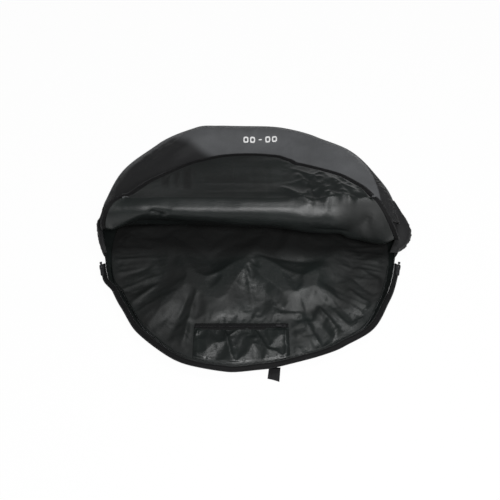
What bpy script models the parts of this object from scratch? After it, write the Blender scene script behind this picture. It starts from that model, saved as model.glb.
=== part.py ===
"""Round padded carry bag for a bicycle wheel, lying open on its back panel.

The near half of the front cover is turned back over the far half, so its
lining shows.  Metres, +Z up, +X to the right, +Y away from the open side.
The origin is on the floor under the centre of the back panel.
"""

import math

import bmesh
import bpy
from mathutils import Matrix, Vector

# Layers of the sewn panels
FABRIC = 0.0012
FOAM = 0.0030
LINING = 0.0008
FIT = 0.0003
OVERRUN = 0.0010
PANEL = FABRIC + FIT + FOAM + FIT + LINING

# Back panel and the band around it
BASE_RADIUS = 0.352
SEAM_Z = 0.0006
RIM_FLARE = 0.022
LIP_FLARE = 0.0095
LIP_HEIGHT = 0.025
BINDING_RADIUS = 0.0019
BINDING_STAND_SHARE = 2.2
PIPING_RADIUS = 0.0018

# Angles around the bag, measured up from the X axis on either side
LIP_ANGLE = math.radians(-10.0)

# Swells of the far rim: how far out, at what angle, how wide an angle
RIM_SWELLS = (
    (0.029, math.radians(143.0), math.radians(24.0)),
    (0.015, math.radians(38.0), math.radians(22.0)),
    (-0.006, math.radians(93.0), math.radians(18.0)),
)

# Soft ridges of the back lining: middle, direction, half length, half width, height
LINING_RIDGES = (
    (-0.150, -0.075, math.radians(115.0), 0.090, 0.030, 0.0070),
    (-0.045, -0.090, math.radians(65.0), 0.080, 0.032, 0.0075),
    (0.055, -0.085, math.radians(120.0), 0.085, 0.030, 0.0070),
    (0.160, -0.080, math.radians(55.0), 0.090, 0.032, 0.0075),
    (0.215, -0.185, math.radians(125.0), 0.070, 0.028, 0.0065),
    (-0.215, -0.180, math.radians(50.0), 0.070, 0.028, 0.0070),
    (-0.100, 0.110, math.radians(85.0), 0.090, 0.032, 0.0060),
    (0.010, 0.120, math.radians(100.0), 0.090, 0.032, 0.0060),
    (0.120, 0.100, math.radians(75.0), 0.090, 0.032, 0.0060),
)
LINING_RIM_RUN_SHARE = 0.16
POCKET_CALM_RUN = 0.045

# Fold of the turned back cover, a half tube along X
FOLD_RADIUS = 0.046
FOLD_Y = 0.036
FOLD_LOW_Z = 0.062
FOLD_LOW_HALF_WIDTH = 0.352
FOLD_TOP_HALF_WIDTH = 0.306
FOLD_TAPER_SHARE = 0.12
HINGE_Y = -0.0155

# Far half of the front cover
COVER_HEIGHT = 0.100
COVER_RISE_RUN = 0.110
COVER_FLAP_GAP = 0.004
CREST_HEIGHT = 0.014
CREST_DISTANCE = 0.290
CREST_SPREAD = 0.050
LEFT_CREST_ANGLE = math.radians(149.6)
LEFT_FALL_DISTANCE = 0.300
LEFT_FALL_SHARE = 0.36
RIGHT_CREST_ANGLE = math.radians(42.2)
RIGHT_FALL_DISTANCE = 0.335
RIGHT_FALL_SHARE = 0.22
FALL_SOFTNESS = 0.007
SIDE_FALL_X = 0.260
SIDE_FALL_Y = 0.220
SIDE_FALL_RUN = 0.120
SIDE_FALL_SHARE = 0.10
SIDE_FALL_SOFTNESS = 0.030
TRIM_REACH = 0.020
TRIM_RUN = 0.030
RIM_ROUND = 0.010
RIM_ROUND_RUN = 0.024
COVER_ROW_SHARE = 1.5
COVER_EDGE_GAP = 0.0004
COVER_LEAN_SHARE = 0.031
COVER_CORNER_ANGLE = math.radians(1.6)

# Flap, the turned back half of the front cover
FLAP_RADIUS = 0.342
FLAP_CENTRE_Y = -0.114
FLAP_DROP = 0.050
FLAP_CORNER_GAP = 0.004

# Main zip
TAPE_WIDTH = 0.0085
TAPE_THICKNESS = 0.0008
TOOTH_PITCH = 0.0075
TOOTH_ROOT_WIDTH = 0.0020
TOOTH_LENGTH = 0.0024
TOOTH_THICKNESS = 0.0022
STOP_LENGTH = 0.0045
STOP_OVERLAP = 0.0012

# Main slider and its pull
SLIDER_LENGTH = 0.0160
SLIDER_WALL = 0.0014
SLIDER_CLEARANCE = 0.0005
SLIDER_REST_ANGLE = math.radians(-12.0)
SLIDER_ROUND = 0.0040
ARCH_LENGTH = 0.0090
ARCH_HEIGHT = 0.0042
ARCH_WIDTH = 0.0026
ARCH_BAR = 0.0011
PULL_LENGTH = 0.0290
PULL_WIDTH = 0.0085
PULL_THICKNESS = 0.0011
PULL_EYE_BAR = 0.0012
PULL_EYE_LENGTH = 0.0058
PULL_EYE_SIDE_GAP = 0.0006

# Folded end patches of the main zip, left and right
EAR_START_ANGLE = math.radians(-6.0)
EAR_END_ANGLE = math.radians(14.0)
EAR_BULGE_LEFT = 0.005
EAR_BULGE_RIGHT = 0.013
EAR_LOW_SHARE = 0.30
EAR_HIGH_SHARE = 0.97

# Inner pocket on the back panel
POCKET_LEFT_X = -0.131
POCKET_RIGHT_X = 0.091
POCKET_TOP_Y = -0.240
POCKET_RIM_GAP = 0.004
POCKET_FABRIC = 0.0010
POCKET_TAPE_WIDTH = 0.0070
POCKET_CHAIN_WIDTH = 0.0040
POCKET_CHAIN_HEIGHT = 0.0016
POCKET_TOOTH_PITCH = 0.0080
POCKET_TOOTH_SHARE = 0.5
POCKET_TOOTH_DIP = 0.0006
POCKET_SLIDER_LENGTH = 0.0100
POCKET_SLIDER_WALL = 0.0009
POCKET_SLIDER_INSET = 0.0030
POCKET_ARCH_LENGTH = 0.0064
POCKET_ARCH_HEIGHT = 0.0032
POCKET_ARCH_WIDTH = 0.0018
POCKET_ARCH_BAR = 0.0009
POCKET_PULL_LENGTH = 0.0180
POCKET_PULL_WIDTH = 0.0050
POCKET_PULL_THICKNESS = 0.0009
POCKET_EYE_BAR = 0.0009
POCKET_EYE_LENGTH = 0.0041

# Webbing tab at the near rim
TAB_X = 0.058
TAB_WIDTH = 0.028
TAB_REACH = 0.030
TAB_THICKNESS = 0.0012
TAB_FOLD_GAP = 0.0006
TAB_SLANT = 0.005
TAB_Z = 0.0006

# Fineness of the rounded shapes
BAND_STEPS = 40
BAND_LEVELS = 4
COVER_STEPS = 34
COVER_ROWS = 9
LINING_STEPS = 20
FOLD_STEPS = 8
FOLD_ROWS = 12
FLAP_STEPS = 20
FLAP_ROWS = 4
SWEEP_STEPS = 40
SWEEP_SIDES = 6
DISC_SIDES = 80
PULL_ROUND_STEPS = 6

RIM_RADIUS = BASE_RADIUS + RIM_FLARE
LIP_RADIUS = BASE_RADIUS + LIP_FLARE
FOLD_CENTRE_Z = FOLD_LOW_Z + FOLD_RADIUS
FOLD_TOP_Z = FOLD_CENTRE_Z + FOLD_RADIUS
FOLD_ANGLE = math.asin(FOLD_Y / RIM_RADIUS)
COVER_INSET = FABRIC / 2 + FIT + LINING + COVER_EDGE_GAP
FLAP_REACH = FLAP_CENTRE_Y + FLAP_RADIUS - FOLD_Y
BACK_LINING_Z = FABRIC + FIT + FOAM + FIT
BACK_TOP_Z = BACK_LINING_Z + LINING
TAPE_START_RADIUS = LIP_RADIUS + FABRIC / 2 + FIT
TAPE_END_RADIUS = TAPE_START_RADIUS + TAPE_WIDTH
COMB_Z = LIP_HEIGHT
BINDING_LINE = BASE_RADIUS + FABRIC / 2 + BINDING_STAND_SHARE * BINDING_RADIUS + FIT
POCKET_TAPE_Z = BACK_TOP_Z + FIT + POCKET_FABRIC + FIT

OUTER = ("outer_fabric", (0.080, 0.080, 0.086), 0.80, 0.0)
LINER = ("lining_fabric", (0.050, 0.058, 0.056), 0.38, 0.0)
FOAM_CORE = ("foam", (0.32, 0.32, 0.33), 0.95, 0.0)
WEBBING = ("webbing", (0.030, 0.030, 0.032), 0.75, 0.0)
ZIP_TEETH = ("zip_plastic", (0.022, 0.022, 0.024), 0.40, 0.0)
ZIP_METAL = ("zip_metal", (0.060, 0.060, 0.065), 0.35, 0.9)


def material(finish):
    name, colour, roughness, metallic = finish
    found = bpy.data.materials.get(name)
    if found:
        return found
    made = bpy.data.materials.new(name)
    made.use_nodes = True
    shader = made.node_tree.nodes["Principled BSDF"]
    shader.inputs["Base Color"].default_value = (*colour, 1.0)
    shader.inputs["Roughness"].default_value = roughness
    shader.inputs["Metallic"].default_value = metallic
    return made


def add_mesh(name, bm, finish, pivot=(0.0, 0.0, 0.0), sharp=math.radians(40.0)):
    """Turn a bmesh into a named object whose origin is at the pivot."""
    bmesh.ops.recalc_face_normals(bm, faces=bm.faces)
    bmesh.ops.translate(bm, verts=bm.verts, vec=-Vector(pivot))
    mesh = bpy.data.meshes.new(name)
    bm.to_mesh(mesh)
    bm.free()
    mesh.shade_smooth()
    mesh.set_sharp_from_angle(angle=sharp)
    made = bpy.data.objects.new(name, mesh)
    made.location = pivot
    mesh.materials.append(material(finish))
    bpy.context.collection.objects.link(made)
    return made


def smooth(share):
    """Ease from 0 to 1, flat at both ends."""
    held = min(max(share, 0.0), 1.0)
    return held * held * (3.0 - 2.0 * held)


def layered_sheet(name, finish, place, low, high, steps, rows, closed=False, pivot=(0.0, 0.0, 0.0)):
    """A closed solid between two depths of a sheet.

    place(u, v, depth) gives a point of the sheet; u and v run from 0 to 1.
    """
    bm = bmesh.new()
    columns = steps if closed else steps + 1
    grids = []
    for depth in (low, high):
        grids.append([[bm.verts.new(place(i / steps, j / rows, depth)) for j in range(rows + 1)]
                      for i in range(columns)])
    lower, upper = grids
    for i in range(steps):
        k = (i + 1) % columns
        for j in range(rows):
            bm.faces.new((upper[i][j], upper[k][j], upper[k][j + 1], upper[i][j + 1]))
            bm.faces.new((lower[i][j], lower[i][j + 1], lower[k][j + 1], lower[k][j]))
        for j in (0, rows):
            bm.faces.new((lower[i][j], lower[k][j], upper[k][j], upper[i][j]))
    if not closed:
        for i in (0, steps):
            for j in range(rows):
                bm.faces.new((lower[i][j], upper[i][j], upper[i][j + 1], lower[i][j + 1]))
    return add_mesh(name, bm, finish, pivot)


def swept_cord(name, finish, path, radius, steps, closed=False, pivot=(0.0, 0.0, 0.0)):
    """A round cord along path(u), as piping or binding is sewn in."""
    bm = bmesh.new()
    count = steps if closed else steps + 1
    centres = [Vector(path(i / steps)) for i in range(count)]
    rings = []
    for i, centre in enumerate(centres):
        before = centres[i - 1] if closed or i > 0 else centre
        after = centres[(i + 1) % count] if closed or i < steps else centre
        along = (after - before).normalized()
        side = along.cross(Vector((0.0, 0.0, 1.0))).normalized()
        up = side.cross(along)
        ring = []
        for k in range(SWEEP_SIDES):
            turn = math.tau * k / SWEEP_SIDES
            ring.append(bm.verts.new(centre + radius * (math.cos(turn) * side + math.sin(turn) * up)))
        rings.append(ring)
    for i in range(steps):
        first, second = rings[i], rings[(i + 1) % count]
        for k in range(SWEEP_SIDES):
            m = (k + 1) % SWEEP_SIDES
            bm.faces.new((first[k], second[k], second[m], first[m]))
    if not closed:
        bm.faces.new(rings[0])
        bm.faces.new(rings[-1])
    return add_mesh(name, bm, finish, pivot, math.radians(70.0))


def extruded(bm, outline, thickness_vector):
    """A prism from a closed outline of points, pushed along a vector."""
    base = [bm.verts.new(point) for point in outline]
    top = [bm.verts.new(Vector(point) + thickness_vector) for point in outline]
    bm.faces.new(base)
    bm.faces.new(top)
    for i in range(len(base)):
        k = (i + 1) % len(base)
        bm.faces.new((base[i], base[k], top[k], top[i]))


def side_angle(angle):
    """How far an angle lies beyond the X axis, towards the far half."""
    return math.asin(math.sin(angle)) if math.sin(angle) > math.sin(LIP_ANGLE) else LIP_ANGLE


def bend(value, softness):
    """Zero before the bend, then rising one to one, with a soft corner."""
    return softness * math.log1p(math.exp(value / softness))


def rim_radius(angle):
    """Radius of the far rim with its swells."""
    swells = [out * math.exp(-(((angle - middle) / spread) ** 2)) for out, middle, spread in RIM_SWELLS]
    return RIM_RADIUS + sum(swells)


def cover_radius(angle):
    """Radius of the cover's edge, clear of the wall's lining, which leans in below the rim."""
    rim = rim_radius(angle)
    return rim - COVER_INSET - COVER_LEAN_SHARE * (rim - BASE_RADIUS)


def cover_top(x, y):
    """Height of the cover's outside, before its rim is rounded."""
    left = x * math.cos(LEFT_CREST_ANGLE) + y * math.sin(LEFT_CREST_ANGLE)
    right = x * math.cos(RIGHT_CREST_ANGLE) + y * math.sin(RIGHT_CREST_ANGLE)
    crest = math.exp(-(((left - CREST_DISTANCE) / CREST_SPREAD) ** 2))
    height = COVER_HEIGHT + CREST_HEIGHT * crest
    height -= LEFT_FALL_SHARE * bend(left - LEFT_FALL_DISTANCE, FALL_SOFTNESS)
    height -= RIGHT_FALL_SHARE * bend(right - RIGHT_FALL_DISTANCE, FALL_SOFTNESS)
    beside = smooth((abs(x) - SIDE_FALL_X) / SIDE_FALL_RUN)
    height -= SIDE_FALL_SHARE * beside * bend(SIDE_FALL_Y - y, SIDE_FALL_SOFTNESS)
    low = FOLD_LOW_Z + PANEL
    height = low + (height - low) * smooth((y - FOLD_Y) / COVER_RISE_RUN)
    edge = FLAP_CENTRE_Y + math.sqrt(max(FLAP_RADIUS * FLAP_RADIUS - x * x, 0.0))
    under_flap = smooth((edge + TRIM_REACH + TRIM_RUN - y) / TRIM_RUN)
    room = flap_height(y, PANEL) - COVER_FLAP_GAP
    return height - under_flap * bend(height - room, FALL_SOFTNESS / 2)


def rim_height(angle):
    """Height of the far rim, where the rounded cover meets the band."""
    radius = cover_radius(angle)
    y = max(radius * math.sin(angle), FOLD_Y)
    return cover_top(radius * math.cos(angle), y) - RIM_ROUND


def band_top(angle):
    """Radius and height of the band's upper edge."""
    share = smooth((side_angle(angle) - LIP_ANGLE) / (FOLD_ANGLE - LIP_ANGLE))
    radius = LIP_RADIUS + (rim_radius(angle) - LIP_RADIUS) * share
    return radius, LIP_HEIGHT + (rim_height(angle) - LIP_HEIGHT) * share


def band_line(angle, share):
    """Radius and height of the band's middle layer, and its outward normal."""
    top_radius, top_height = band_top(angle)
    left = 1.0 - share
    radius = BASE_RADIUS + (top_radius - BASE_RADIUS) * (1.0 - left * left)
    height = SEAM_Z + (top_height - SEAM_Z) * share
    run = 2.0 * left * (top_radius - BASE_RADIUS)
    rise = top_height - SEAM_Z
    length = math.hypot(run, rise)
    return radius, height, rise / length, -run / length


def binding_line(angle):
    """Radius of the seam's binding, further out where the wall above it leans out."""
    share = (FIT + BINDING_RADIUS - SEAM_Z) / (band_top(angle)[1] - SEAM_Z)
    radius, height, out, up = band_line(angle, share)
    return max(BINDING_LINE, radius + (FABRIC / 2 + FIT + BINDING_RADIUS) / out)


def around(radius, angle, height, centre_y=0.0):
    return (radius * math.cos(angle), centre_y + radius * math.sin(angle), height)


def band(name, finish, start, end, low, high, from_z=SEAM_Z):
    """A stretch of the gusset band, from its lower seam to its upper edge."""

    def place(u, v, depth):
        angle = start + (end - start) * u
        first = (from_z - SEAM_Z) / (band_top(angle)[1] - SEAM_Z)
        radius, height, out, up = band_line(angle, first + (1.0 - first) * v)
        return around(radius + out * depth, angle, height + up * depth)

    return layered_sheet(name, finish, place, low, high, BAND_STEPS, BAND_LEVELS)


def gussets():
    split = FIT / RIM_RADIUS
    far = (LIP_ANGLE + split, math.pi - LIP_ANGLE - split)
    near = (math.pi - LIP_ANGLE + split, math.tau + LIP_ANGLE - split)
    half = FABRIC / 2
    skin_low = -half - FIT - LINING
    skin_high = -half - FIT
    skin_z = FABRIC + FIT + FIT
    band("far_gusset", OUTER, *far, -half, half)
    band("far_gusset_lining", LINER, *far, skin_low, skin_high, skin_z)
    band("near_gusset", OUTER, *near, -half, half)
    band("near_gusset_lining", LINER, *near, skin_low, skin_high, skin_z)


def disc(name, finish, radius, low, thickness):
    bm = bmesh.new()
    outline = [around(radius, math.tau * i / DISC_SIDES, low) for i in range(DISC_SIDES)]
    extruded(bm, outline, Vector((0.0, 0.0, thickness)))
    return add_mesh(name, bm, finish)


def lining_relief(x, y):
    """How far the back lining stands off its padding, flat at the rim and under the pocket."""
    height = 0.0
    for middle_x, middle_y, way, half_length, half_width, rise in LINING_RIDGES:
        along = (x - middle_x) * math.cos(way) + (y - middle_y) * math.sin(way)
        across = (y - middle_y) * math.cos(way) - (x - middle_x) * math.sin(way)
        height += rise * math.exp(-((along / half_length) ** 2) - (across / half_width) ** 2)
    rim = smooth((1.0 - math.hypot(x, y) / BASE_RADIUS) / LINING_RIM_RUN_SHARE)
    beside = max(POCKET_LEFT_X - x, x - POCKET_RIGHT_X, y - POCKET_TOP_Y)
    return height * rim * smooth((beside - POCKET_CALM_RUN) / POCKET_CALM_RUN)


def back_layers():
    outer_radius = BASE_RADIUS - FABRIC / 2 - FIT
    inner_radius = outer_radius - LINING - FIT
    disc("back_panel", OUTER, outer_radius, 0.0, FABRIC)
    disc("back_padding", FOAM_CORE, inner_radius - FIT, FABRIC + FIT, FOAM)

    def place(u, v, depth):
        across, along = 2.0 * u - 1.0, 2.0 * v - 1.0
        x = inner_radius * across * math.sqrt(1.0 - along * along / 2.0)
        y = inner_radius * along * math.sqrt(1.0 - across * across / 2.0)
        return (x, y, BACK_LINING_Z + lining_relief(x, y) + depth)

    layered_sheet("back_lining", LINER, place, 0.0, LINING, LINING_STEPS, LINING_STEPS)

    def path(u):
        angle = math.tau * u
        return around(binding_line(angle), angle, FIT + BINDING_RADIUS)

    swept_cord("back_seam_binding", WEBBING, path, BINDING_RADIUS, 2 * SWEEP_STEPS, closed=True)


def cover_place(u, v, depth):
    """The far half of the front cover; depth counts up from its lining."""
    first = FOLD_ANGLE + COVER_CORNER_ANGLE
    angle = first + (math.pi - 2.0 * first) * u
    radius = cover_radius(angle)
    x = radius * math.cos(angle)
    start_y = FOLD_Y + FIT
    y = start_y + (radius * math.sin(angle) - start_y) * (1.0 - (1.0 - v) ** COVER_ROW_SHARE)
    edge = cover_radius(math.atan2(y, x)) - math.hypot(x, y)
    close = min(max(1.0 - edge / RIM_ROUND_RUN, 0.0), 1.0)
    return (x, y, cover_top(x, y) - RIM_ROUND * close * close - PANEL + depth)


def cover():
    foam_low = LINING + FIT
    outer_low = foam_low + FOAM + FIT
    size = (COVER_STEPS, COVER_ROWS)
    layered_sheet("cover_lining", LINER, cover_place, 0.0, LINING, *size)
    layered_sheet("cover_padding", FOAM_CORE, cover_place, foam_low, foam_low + FOAM, *size)
    layered_sheet("cover_outer", OUTER, cover_place, outer_low, outer_low + FABRIC, *size)

    def path(u):
        angle = FOLD_ANGLE + (math.pi - 2.0 * FOLD_ANGLE) * u
        radius, height = band_top(angle)
        return around(radius - FABRIC / 2, angle, height + FIT + FIT + PIPING_RADIUS)

    swept_cord("cover_piping", WEBBING, path, PIPING_RADIUS, SWEEP_STEPS)


def fold_half_width(v):
    return FOLD_LOW_HALF_WIDTH + (FOLD_TOP_HALF_WIDTH - FOLD_LOW_HALF_WIDTH) * v


def fold_place(u, v, depth, beyond=0.0):
    """The half tube of the fold; depth counts inwards from its lining."""
    side = 2.0 * u - 1.0
    half = fold_half_width(v)
    turn = 1.5 * math.pi - math.pi * v
    radius = FOLD_RADIUS - depth
    narrow = 1.0 - FOLD_TAPER_SHARE * abs(side) ** 4 * math.sin(math.pi * v)
    x = side * half + math.copysign(beyond, side)
    return (x, FOLD_Y + radius * math.cos(turn) * narrow, FOLD_CENTRE_Z + radius * math.sin(turn))


def fold():
    pivot = (0.0, HINGE_Y, FOLD_LOW_Z)
    foam_low = LINING + FIT
    outer_low = foam_low + FOAM + FIT
    size = (FOLD_STEPS, FOLD_ROWS)
    layered_sheet("fold_lining", LINER, fold_place, 0.0, LINING, *size, pivot=pivot)
    layered_sheet("fold_padding", FOAM_CORE, fold_place, foam_low, foam_low + FOAM, *size, pivot=pivot)
    layered_sheet("fold_outer", OUTER, fold_place, outer_low, outer_low + FABRIC, *size, pivot=pivot)
    middle = PANEL / 2
    for name, side in (("fold_zip_tape_left", 0.0), ("fold_zip_tape_right", 1.0)):

        def place(u, v, depth, side=side):
            return fold_place(side, v, middle + depth, FIT + TAPE_WIDTH * u)

        layered_sheet(name, WEBBING, place, -TAPE_THICKNESS / 2, TAPE_THICKNESS / 2, 1, FOLD_ROWS,
                      pivot=pivot)


def flap_height(y, depth):
    """Height of the flap's sloping plane; depth counts down from its lining."""
    return FOLD_TOP_Z - FLAP_DROP * (y - FOLD_Y) / FLAP_REACH - depth


def flap_end_angle(radius):
    """Where an arc about the flap's centre comes back to the fold line."""
    return math.asin((FOLD_Y + FLAP_CORNER_GAP - FLAP_CENTRE_Y) / radius)


def flap_place(u, v, depth):
    first = flap_end_angle(FLAP_RADIUS)
    angle = first + (math.pi - 2.0 * first) * u
    edge_y = FLAP_CENTRE_Y + FLAP_RADIUS * math.sin(angle)
    start_y = FOLD_Y + FIT
    y = start_y + (edge_y - start_y) * v
    return (FLAP_RADIUS * math.cos(angle), y, flap_height(y, depth))


def flap_arc(radius, share, depth):
    first = flap_end_angle(radius)
    angle = first + (math.pi - 2.0 * first) * share
    x, y, _ = around(radius, angle, 0.0, FLAP_CENTRE_Y)
    return (x, y, flap_height(y, depth))


def flap():
    pivot = (0.0, HINGE_Y, FOLD_TOP_Z)
    foam_low = LINING + FIT
    outer_low = foam_low + FOAM + FIT
    size = (FLAP_STEPS, FLAP_ROWS)
    layered_sheet("flap_lining", LINER, flap_place, 0.0, LINING, *size, pivot=pivot)
    layered_sheet("flap_padding", FOAM_CORE, flap_place, foam_low, foam_low + FOAM, *size, pivot=pivot)
    layered_sheet("flap_outer", OUTER, flap_place, outer_low, outer_low + FABRIC, *size, pivot=pivot)
    middle = PANEL / 2
    piping_arc = FLAP_RADIUS + FIT + PIPING_RADIUS

    def path(u):
        return flap_arc(piping_arc, u, middle)

    swept_cord("flap_piping", WEBBING, path, PIPING_RADIUS, SWEEP_STEPS, pivot=pivot)
    tape_arc = piping_arc + PIPING_RADIUS + FIT

    def place(u, v, depth):
        return flap_arc(tape_arc + TAPE_WIDTH * v, u, middle + depth)

    layered_sheet("flap_zip_tape", WEBBING, place, -TAPE_THICKNESS / 2, TAPE_THICKNESS / 2,
                  SWEEP_STEPS, 1, pivot=pivot)
    root = tape_arc + TAPE_WIDTH + FIT
    first = flap_end_angle(root + TOOTH_ROOT_WIDTH)
    bm = comb(root, first, math.pi - first, FLAP_CENTRE_Y, lambda y: flap_height(y, middle))
    add_mesh("flap_zip_teeth", bm, ZIP_TEETH, pivot)


def comb(inner, start, end, centre_y, height_at):
    """A row of moulded teeth on their root strip, along an arc."""
    root = inner + TOOTH_ROOT_WIDTH
    tip = root + TOOTH_LENGTH
    count = int((end - start) * tip / TOOTH_PITCH)
    step = (end - start) / count
    corner_shares = ((0.10, root), (0.26, tip), (0.58, tip), (0.74, root))
    outline = [(inner, start), (root, start)]
    for i in range(count):
        outline += [(radius, start + (i + share) * step) for share, radius in corner_shares]
    outline += [(root, end)]
    outline += [(inner, end - (end - start) * i / SWEEP_STEPS) for i in range(SWEEP_STEPS)]
    points = []
    for radius, angle in outline:
        x, y, _ = around(radius, angle, 0.0, centre_y)
        points.append((x, y, height_at(y) - TOOTH_THICKNESS / 2))
    bm = bmesh.new()
    extruded(bm, points, Vector((0.0, 0.0, TOOTH_THICKNESS)))
    return bm


def base_zip():
    start_on_lip = math.pi - LIP_ANGLE + FIT
    end_on_lip = math.tau + LIP_ANGLE - FIT

    def place(u, v, depth):
        angle = start_on_lip + (end_on_lip - start_on_lip) * u
        radius = TAPE_START_RADIUS + TAPE_WIDTH * v
        return around(radius, angle, COMB_Z + depth)

    layered_sheet("base_zip_tape", WEBBING, place, -TAPE_THICKNESS / 2, TAPE_THICKNESS / 2,
                  BAND_STEPS, 1)
    inner = TAPE_END_RADIUS + FIT
    add_mesh("base_zip_teeth", comb(inner, start_on_lip, end_on_lip, 0.0, lambda y: COMB_Z), ZIP_TEETH)
    tip = inner + TOOTH_ROOT_WIDTH + TOOTH_LENGTH
    past = (STOP_LENGTH / 2 + FIT) / inner
    for name, angle in (("zip_stop_left", start_on_lip - past), ("zip_stop_right", end_on_lip + past)):
        bm = bmesh.new()
        bmesh.ops.create_cube(bm, size=1.0)
        size = (tip - inner + STOP_OVERLAP, STOP_LENGTH, TOOTH_THICKNESS + STOP_OVERLAP)
        bmesh.ops.scale(bm, verts=bm.verts, vec=size)
        centre = around((inner + tip) / 2, angle, COMB_Z)
        bmesh.ops.transform(bm, verts=bm.verts,
                            matrix=Matrix.Translation(centre) @ Matrix.Rotation(angle, 4, "Z"))
        add_mesh(name, bm, ZIP_METAL)


def zip_ears():
    """Fabric patches that close the zip's ends and puff out beside the band."""
    for name, bulge, right in (("zip_ear_left", EAR_BULGE_LEFT, False),
                               ("zip_ear_right", EAR_BULGE_RIGHT, True)):

        def place(u, v, depth, bulge=bulge, right=right):
            beyond = EAR_START_ANGLE + (EAR_END_ANGLE - EAR_START_ANGLE) * u
            angle = beyond if right else math.pi - beyond
            share = EAR_LOW_SHARE + (EAR_HIGH_SHARE - EAR_LOW_SHARE) * v
            radius, height, out, up = band_line(angle, share)
            puff = bulge * math.sin(math.pi * u) * math.sin(math.pi * v)
            lift = FABRIC / 2 + FIT + puff + depth
            return around(radius + out * lift, angle, height + up * lift)

        layered_sheet(name, OUTER, place, 0.0, FABRIC, FOLD_STEPS, FOLD_STEPS)


def arch_outline(length, height, bar, base_z, sink):
    """Side view of the small bridge that holds a pull, in X and Z."""
    steps = PULL_ROUND_STEPS
    outer = [(math.cos(math.pi * i / steps), math.sin(math.pi * i / steps)) for i in range(steps + 1)]
    half = length / 2
    points = [(half, base_z - sink)]
    points += [(half * x, base_z + height * z) for x, z in outer]
    points += [(-half, base_z - sink), (-half + bar, base_z - sink)]
    points += [((half - bar) * x, base_z + (height - bar) * z) for x, z in reversed(outer)]
    points += [(half - bar, base_z - sink)]
    return points


def join_arch(target, outline, width, transform):
    """Weld the bridge onto a slider body."""
    bm = bmesh.new()
    extruded(bm, [(x, -width / 2, z) for x, z in outline], Vector((0.0, width, 0.0)))
    bmesh.ops.transform(bm, verts=bm.verts, matrix=transform)
    arch = add_mesh(target.name + "_arch_guide", bm, ZIP_METAL)
    arch.hide_render = True
    arch.hide_viewport = True
    arch.display_type = "WIRE"
    union = target.modifiers.new("arch", "BOOLEAN")
    union.operation = "UNION"
    union.object = arch


def rounded_plate(length, width, corner, low, thickness):
    """A plate with rounded corners, centred, in X and Y."""
    points = []
    quarter = PULL_ROUND_STEPS // 2
    for side_x, side_y, first in ((1, 1, 0.0), (-1, 1, 0.5), (-1, -1, 1.0), (1, -1, 1.5)):
        for i in range(quarter + 1):
            turn = math.pi * (first + 0.5 * i / quarter)
            points.append((side_x * (length / 2 - corner) + corner * math.cos(turn),
                           side_y * (width / 2 - corner) + corner * math.sin(turn), low))
    bm = bmesh.new()
    extruded(bm, points, Vector((0.0, 0.0, thickness)))
    return bm


def guide(name, bm):
    made = add_mesh(name, bm, ZIP_METAL)
    made.hide_render = True
    made.hide_viewport = True
    made.display_type = "WIRE"
    return made


def slider_frame(angle, radius):
    """Local X along the rim, local Y outward, at a point of the rim."""
    along = angle + math.pi / 2
    out = Vector((math.cos(angle), math.sin(angle), 0.0))
    turn = Matrix.Rotation(along, 4, "Z") @ Matrix.Scale(-1.0, 4, Vector((0.0, 1.0, 0.0)))
    return Matrix.Translation(out * radius) @ turn


def main_slider(side):
    """Channel around the teeth, with a bridge for its pull."""
    right = side == "right"
    angle = SLIDER_REST_ANGLE if right else math.pi - SLIDER_REST_ANGLE
    inner = TAPE_END_RADIUS + FIT
    tip = inner + TOOTH_ROOT_WIDTH + TOOTH_LENGTH
    bow = SLIDER_LENGTH * SLIDER_LENGTH / (8.0 * tip)
    half = TOOTH_THICKNESS / 2 + SLIDER_CLEARANCE
    slot_out = tip - inner + SLIDER_CLEARANCE
    out_face = slot_out + SLIDER_WALL + bow
    frame = slider_frame(angle, inner)
    low = COMB_Z - half - SLIDER_WALL
    height = 2.0 * (half + SLIDER_WALL)
    body = rounded_plate(SLIDER_LENGTH, out_face + bow + SLIDER_ROUND, SLIDER_ROUND, low, height)
    shift = (out_face - bow - SLIDER_ROUND) / 2
    bmesh.ops.translate(body, verts=body.verts, vec=(0.0, shift, 0.0))
    bmesh.ops.transform(body, verts=body.verts, matrix=frame)
    slider = add_mesh("slider_" + side, body, ZIP_METAL)
    cut = bmesh.new()
    reach = SLIDER_ROUND + SLIDER_LENGTH
    slot = [(-SLIDER_LENGTH, -reach, COMB_Z - half), (SLIDER_LENGTH, -reach, COMB_Z - half),
            (SLIDER_LENGTH, slot_out, COMB_Z - half), (-SLIDER_LENGTH, slot_out, COMB_Z - half)]
    extruded(cut, slot, Vector((0.0, 0.0, 2.0 * half)))
    bmesh.ops.transform(cut, verts=cut.verts, matrix=frame)
    channel = slider.modifiers.new("channel", "BOOLEAN")
    channel.operation = "DIFFERENCE"
    channel.object = guide("slider_" + side + "_channel_guide", cut)
    top = COMB_Z + half + SLIDER_WALL
    middle = Matrix.Translation((0.0, shift, 0.0))
    outline = arch_outline(ARCH_LENGTH, ARCH_HEIGHT, ARCH_BAR, top, SLIDER_WALL / 2)
    join_arch(slider, outline, ARCH_WIDTH, frame @ middle)
    pull("pull_" + side, frame @ middle, not right, top, PULL_LENGTH, PULL_WIDTH, PULL_THICKNESS,
         PULL_EYE_BAR, PULL_EYE_LENGTH, ARCH_WIDTH)


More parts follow.
